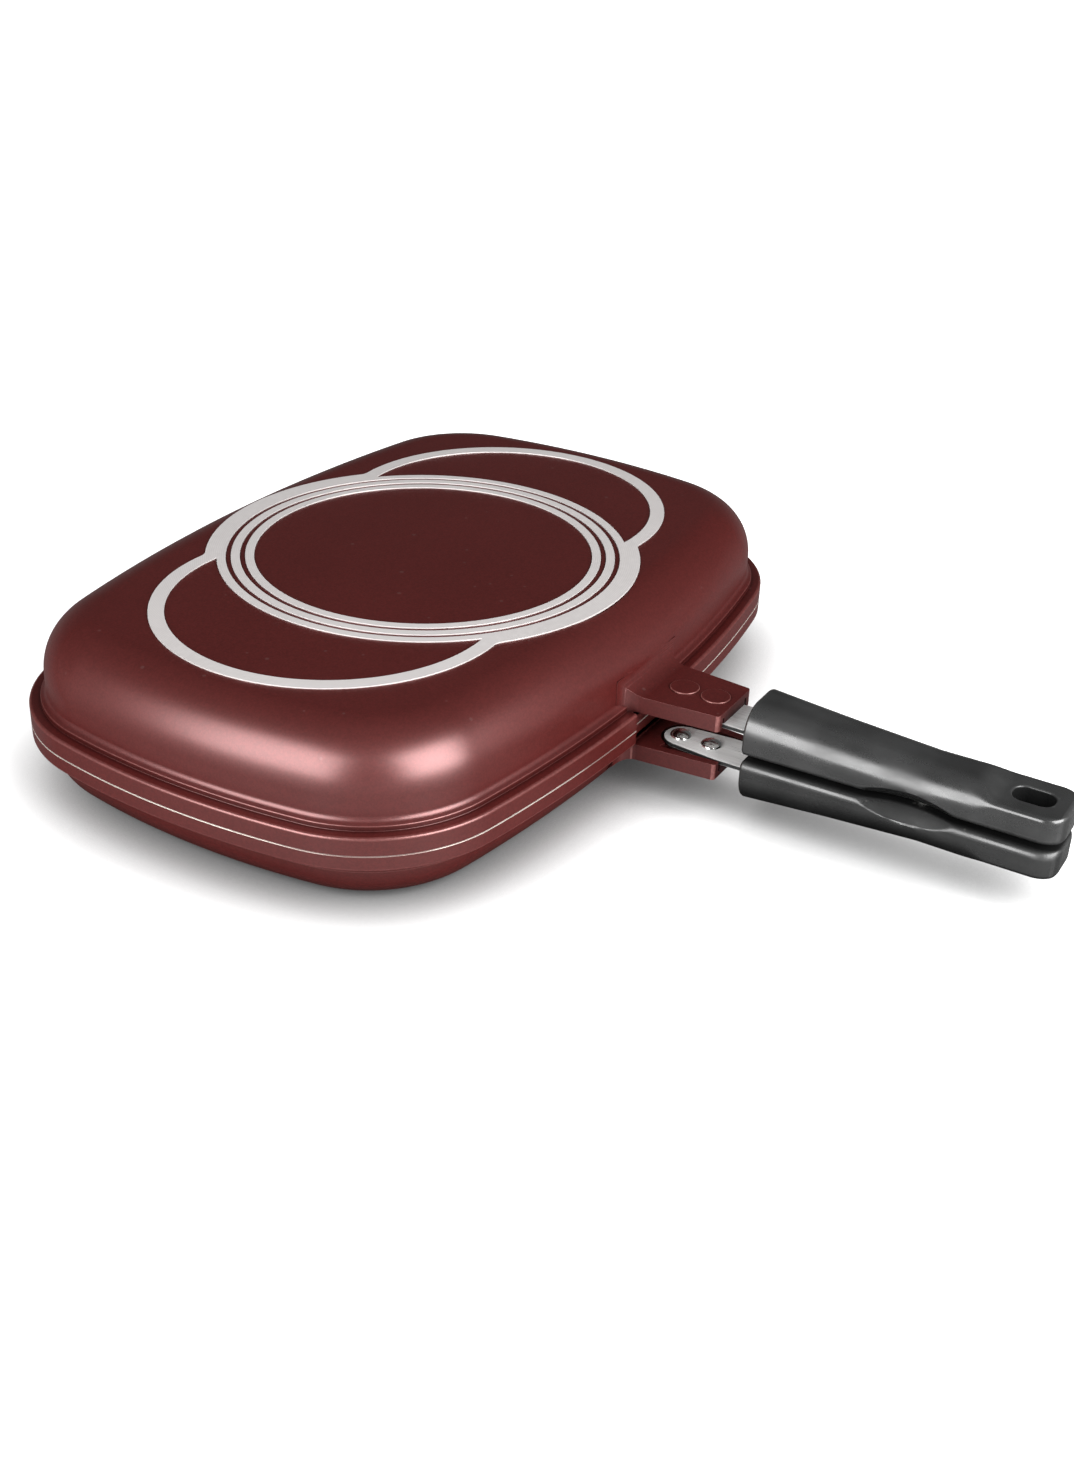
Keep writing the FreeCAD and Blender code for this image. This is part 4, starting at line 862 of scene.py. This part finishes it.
moulding, tree, shader = new_finish("grip_moulding")
coat = apply_effect(tree, uneven_coat, Grain_scale=2200.0, Patch_scale=48.0)
smear = apply_effect(tree, brushed_lines, Stretch=(110.0, 34.0, 110.0))
glint_and_wear = apply_effect(tree, edge_glint_and_wear, Scale=180.0, Amount=0.12)["Mask"]
shade = apply_effect(tree, corner_shade, Reach=60 * MM, Depth=2.0)["Mask"]
lint = apply_effect(tree, dust, Scale=150.0, Amount=0.2)["Mask"]
colour = mix_colours(tree, coat["Patch"], (0.011, 0.0112, 0.0112, 1), (0.044, 0.0445, 0.0445, 1))
colour = tint(tree, colour, map_value(tree, coat["Flake"], 0.94, 1.06))
colour = mix_colours(tree, glint_and_wear, colour, (0.16, 0.16, 0.16, 1))
colour = mix_colours(tree, lint, colour, (0.4, 0.39, 0.37, 1))
satin = times(tree, sheen(tree, 0.3, 0.6), map_value(tree, shade, 0.05, 1.0, 0.25, 0.8))
blotch = calculate(tree, "ADD", times(tree, smear["Lines"], 0.85), times(tree, coat["Grain"], 0.15))
feed(shader.inputs, Base_Color=tint(tree, colour, map_value(tree, shade, 0.3, 1.0, 0.2, 0.9)),
     Specular_IOR_Level=satin, Roughness=map_value(tree, blotch, 0.2, 0.46, 0.36, 0.64),
     Normal=relief(tree, coat["Grain"], 0.02 * MM, 0.2))
for half in HALVES:
    end = GRIP_LENGTH - TAIL_CORNER
    places = rounding(FRONT_ROUND, range(0, 90, 15))
    places += [(FRONT_ROUND + (end - FRONT_ROUND) * i / GRIP_STEPS, 0) for i in range(GRIP_STEPS + 1)]
    for angle in range(6, 90, 6):
        distance = end + TAIL_CORNER * math.sin(math.radians(angle))
        short = max(REAR_ROUND - (GRIP_LENGTH - distance), 0)
        places.append((distance, REAR_ROUND - math.sqrt(REAR_ROUND ** 2 - short ** 2)))
    grip = loft(half + "_handle", [
        [(x, -(GRIP_FRONT + distance), z) for x, z in grip_section(distance, round_end)]
        for distance, round_end in places], moulding)
    middle = -(GRIP_FRONT + GRIP_LENGTH - SLOT_BACK)
    carve(grip, slot_cutter(middle, GRIP_FACE, GRIP_FACE + TAIL_HEIGHT))
    recess = arc((0, -SCREW_PLACE), RECESS_RADIUS, 0, 352, 44)
    carve(grip, prism("recess", recess, -5 * MM, GRIP_FACE + RECESS_DEPTH, moulding))
    add_piece(grip, half, half + "_grip", glint_and_wear=1.0, angle=40)

# The grip screws: slotted cheese-head screws, sunk in the inner face of each grip, and the
# knurled brass inserts that they bite into, moulded in above the straps.
screw_steel, tree, shader = new_finish("zinc_screw", Metallic=1.0)
cut = apply_effect(tree, turning_marks, Scale=700.0, Centre=(0, -SCREW_PLACE, 0))
colour = mix_colours(tree, cut["Chatter"], (0.52, 0.53, 0.55, 1), (0.7, 0.7, 0.68, 1))
feed(shader.inputs, Base_Color=tint(tree, colour, map_value(tree, cut["Marks"], 0.88, 1.08)),
     Roughness=vary(tree, cut["Chatter"], 0.2, 0.42),
     Normal=relief(tree, cut["Marks"], 0.01 * MM, 0.6))

brass, tree, shader = new_finish("brass_insert", Metallic=1.0)
cut = apply_effect(tree, turning_marks, Scale=700.0, Centre=(0, -SCREW_PLACE, 0))
colour = mix_colours(tree, cut["Chatter"], (0.62, 0.42, 0.14, 1), (0.78, 0.56, 0.24, 1))
feed(shader.inputs, Base_Color=colour, Roughness=map_value(tree, cut["Marks"], 0.22, 0.38),
     Normal=relief(tree, cut["Marks"], 0.015 * MM, 0.6))

# Radius and height
screw_profile = in_mm(
    (0, 2.1), (3.4, 2.1), (3.68, 2.18), (3.8, 2.45), (3.8, 4.1), (2, 4.1), (2, 15), (0, 15))
insert_profile = in_mm(
    (2.05, 10.05), (3.0, 10.05), (3.2, 10.25), (3.2, 13), (2.9, 13.3), (2.9, 13.8), (3.2, 14.1),
    (3.2, 16.85), (3.0, 17.05), (2.05, 17.05), (2.05, 10.05))
slot_plan = in_mm((-6, -0.5), (6, -0.5), (6, 0.5), (-6, 0.5))
for half in HALVES:
    screw = turned(half + "_screw", screw_profile, screw_steel, 40)
    carve(screw, prism("slot", slot_plan, 0, 3.1 * MM, screw_steel))
    insert = turned(half + "_insert", insert_profile, brass, 40)
    for item, kind, node in ((screw, "steel", "_grip_screw"), (insert, "brass", "_grip_insert")):
        item.data.transform(Matrix.Translation((0, -SCREW_PLACE, 0)))
        add_piece(item, half, half + node)

# The magnets: pressed discs, nickel plated, one let into the inner face of each grip so that the
# two hold the pan shut.
MAGNET_PLACE = 248.5 * MM
nickel, tree, shader = new_finish("nickel_magnet", Metallic=1.0)
cut = apply_effect(tree, turning_marks, Scale=420.0, Centre=(0, -MAGNET_PLACE, 0))
coat = apply_effect(tree, uneven_coat, Grain_scale=600.0, Patch_scale=150.0)
colour = mix_colours(tree, coat["Patch"], (0.6, 0.59, 0.56, 1), (0.72, 0.71, 0.68, 1))
feed(shader.inputs, Base_Color=colour, Roughness=vary(tree, coat["Grain"], 0.12, 0.3),
     Normal=relief(tree, cut["Chatter"], 0.01 * MM, 0.4))

magnet_profile = in_mm(
    (0, 0.15), (5.7, 0.15), (5.85, 0.19), (5.96, 0.3), (6.0, 0.45), (6.0, 4.5), (0, 4.5))
for half in HALVES:
    magnet = turned(half + "_magnet_disc", magnet_profile, nickel)
    magnet.data.transform(Matrix.Translation((0, -MAGNET_PLACE, 0)))
    add_piece(magnet, half, half + "_magnet")

# The hinge pins and clips: steel pins turned with a low domed head outside and a groove inside,
# and the open rings of sheet steel that snap into the groove and hold them.
pin_steel, tree, shader = new_finish("turned_pin", Metallic=1.0)
brush = apply_effect(tree, brushed_lines, Stretch=(2200.0, 500.0, 500.0))
glint_and_wear = apply_effect(tree, edge_glint_and_wear, Scale=400.0, Amount=0.5)["Mask"]
colour = mix_colours(tree, brush["Stain"], (0.46, 0.46, 0.46, 1), (0.62, 0.62, 0.61, 1))
feed(shader.inputs, Base_Color=mix_colours(tree, glint_and_wear, colour, (0.8, 0.8, 0.79, 1)),
     Roughness=vary(tree, brush["Lines"], 0.24, 0.42),
     Normal=relief(tree, brush["Lines"], 0.01 * MM, 0.6))

pin_profile = in_mm(
    (0, 57.1), (2.0, 57.1), (2.5, 57.6), (2.5, 58.7), (1.9, 58.7), (1.9, 59.6), (2.5, 59.6),
    (2.5, 90.45), (4.2, 90.45), (4.2, 91.35), (4.05, 91.8), (3.7, 92.12), (3.3, 92.25), (0, 92.25))
CLIP_START, CLIP_THICKNESS, CLIP_OUTER, CLIP_INNER, CLIP_MOUTH = mm(58.75, 0.8, 4.4, 1.95, 1.5)
for side, turn in (("right", 0), ("left", math.pi)):
    pin = turned(side + "_hinge_pin", pin_profile, pin_steel)
    pin.data.transform(Matrix.Rotation(math.pi / 2, 4, "Y"))
    mouth = math.degrees(math.asin(CLIP_MOUTH / CLIP_OUTER))
    inner_mouth = math.degrees(math.asin(CLIP_MOUTH / CLIP_INNER))
    ring = arc((0, 0), CLIP_OUTER, -90 + mouth, 270 - mouth, 40)
    ring += arc((0, 0), CLIP_INNER, 270 - inner_mouth, -90 + inner_mouth, 24)
    clip = prism(side + "_hinge_clip", ring, CLIP_START, CLIP_START + CLIP_THICKNESS, pin_steel, "X")
    round_edges(clip, 0.12 * MM, 2)
    for item, node in ((pin, "hinge_pin_" + side), (clip, "hinge_clip_" + side)):
        item.data.transform(Matrix.Rotation(turn, 4, "Z"))
        smooth_faces(item)
        item.data.transform(Matrix.Translation((0, HINGE_LINE, PARTING_HEIGHT)))
        hand_over(item, "lower", node)

# The floor: a plain pale board under the pan, white to the eye far out and with the pan's soft
# shadow near it. It belongs to the studio and not to the pan.
FLOOR_REACH, FLOOR_LEVEL, SHADOW_REACH = 6, -0.2 * MM, 42 * MM
floor_mesh = bmesh.new()
corners = [floor_mesh.verts.new((x * FLOOR_REACH, y * FLOOR_REACH, FLOOR_LEVEL))
           for x, y in ((-1, -1), (1, -1), (1, 1), (-1, 1))]
floor_mesh.faces.new(corners)
pale_floor, tree, shader = new_finish(
    "pale_floor", Roughness=0.75, Specular_IOR_Level=0.2, Emission_Color=(1, 1, 1, 1))
place = object_place(tree)
mottle = noise(tree, place, 30.0, 3.0)
pale = mix_colours(tree, mottle, (0.84, 0.84, 0.84, 1), (0.86, 0.86, 0.86, 1))
open_sky = add_node(tree, "ShaderNodeAmbientOcclusion", {"Distance": SHADOW_REACH}, samples=16)
shade_near = map_value(tree, calculate(tree, "POWER", open_sky.outputs["AO"], 1.4), 0.04, 1.0)
away = add_node(tree, "ShaderNodeVectorMath", {0: place}, operation="LENGTH").outputs["Value"]
rays = add_node(tree, "ShaderNodeLightPath").outputs
mirrored = calculate(tree, "MAXIMUM", rays["Is Glossy Ray"], rays["Is Transmission Ray"])
looked_at = calculate(tree, "MAXIMUM", rays["Is Camera Ray"], times(tree, mirrored, 0.12))
glow = times(tree, map_value(tree, away, 0.58, 1.0, 0.1, 0.4), looked_at)
# Painted shadow near the pan: an occlusion mask darkens the floor's colour and glow there. Where the pan
# mirrors the floor its colour is dimmed too, which paints a darker reflection.
seen_tone = times(tree, shade_near, map_value(tree, mirrored, 1.0, 0.2))
glow = times(tree, glow, shade_near)
feed(shader.inputs, Base_Color=tint(tree, pale, seen_tone), Emission_Strength=glow)
new_piece("studio_floor", floor_mesh, pale_floor)

# The camera: at the photograph's place, height and tilt, found from the rings and the rim.
CAMERA_PLACE, LENS, SENSOR_WIDTH = (-0.6100, -0.4182, 0.4001), 43.07, 36
CAMERA_TURN, CAMERA_RISE, CAMERA_ROLL = -59.8, 29.48, 2.07
camera = add_object("camera", bpy.data.cameras.new("camera"))
turn, tilt, roll = (Matrix.Rotation(math.radians(angle), 4, axis) for angle, axis in (
    (CAMERA_TURN, "Z"), (90 - CAMERA_RISE, "X"), (CAMERA_ROLL, "Z")))
camera.matrix_world = Matrix.Translation(CAMERA_PLACE) @ turn @ tilt @ roll
camera.data.sensor_width = SENSOR_WIDTH
camera.data.lens = LENS
camera.data.clip_start = 0.01
bpy.context.scene.camera = camera


def softbox(name, heading, rise, size, watts, distance=1.5):
    """A square soft lamp that faces the pan; heading and rise in degrees, from the long axis."""
    lamp = bpy.data.lights.new(name, "AREA")
    lamp.size = size
    lamp.energy = watts
    item = add_object(name, lamp)
    turn, lift = math.radians(heading), math.radians(rise)
    aim = Vector((math.cos(turn) * math.cos(lift), math.sin(turn) * math.cos(lift), math.sin(lift)))
    item.location = aim * distance
    item.rotation_euler = aim.to_track_quat("Z", "Y").to_euler()


# Two soft lamps low on the left and in front, and a white studio sweep that goes dark above.
softbox("left_softbox", 169, 23, 1.09, 27)
softbox("front_softbox", 261, 25, 1.15, 39)

studio = bpy.data.worlds.new("studio")
bpy.context.scene.world = studio
studio.use_nodes = True
tree = studio.node_tree
rays = tree.nodes.new("ShaderNodeLightPath").outputs
bearing_up = add_node(tree, "ShaderNodeTexCoord").outputs["Generated"]
height = add_node(tree, "ShaderNodeSeparateXYZ", {0: bearing_up}).outputs["Z"]
sweep_white = map_value(tree, height, 0.4, 0.08, 0.02, 0.12)
mirrored = calculate(tree, "MAXIMUM", rays["Is Glossy Ray"], rays["Is Transmission Ray"])
level = step(tree, "ShaderNodeMix", {0: mirrored, 2: 0.25, 3: sweep_white})
level = calculate(tree, "MAXIMUM", level, rays["Is Camera Ray"])
background = set_values(tree.nodes["Background"], {"Color": (1, 1, 1, 1)})
feed(background.inputs, Strength=level)
bpy.context.scene.view_settings.view_transform = "Standard"
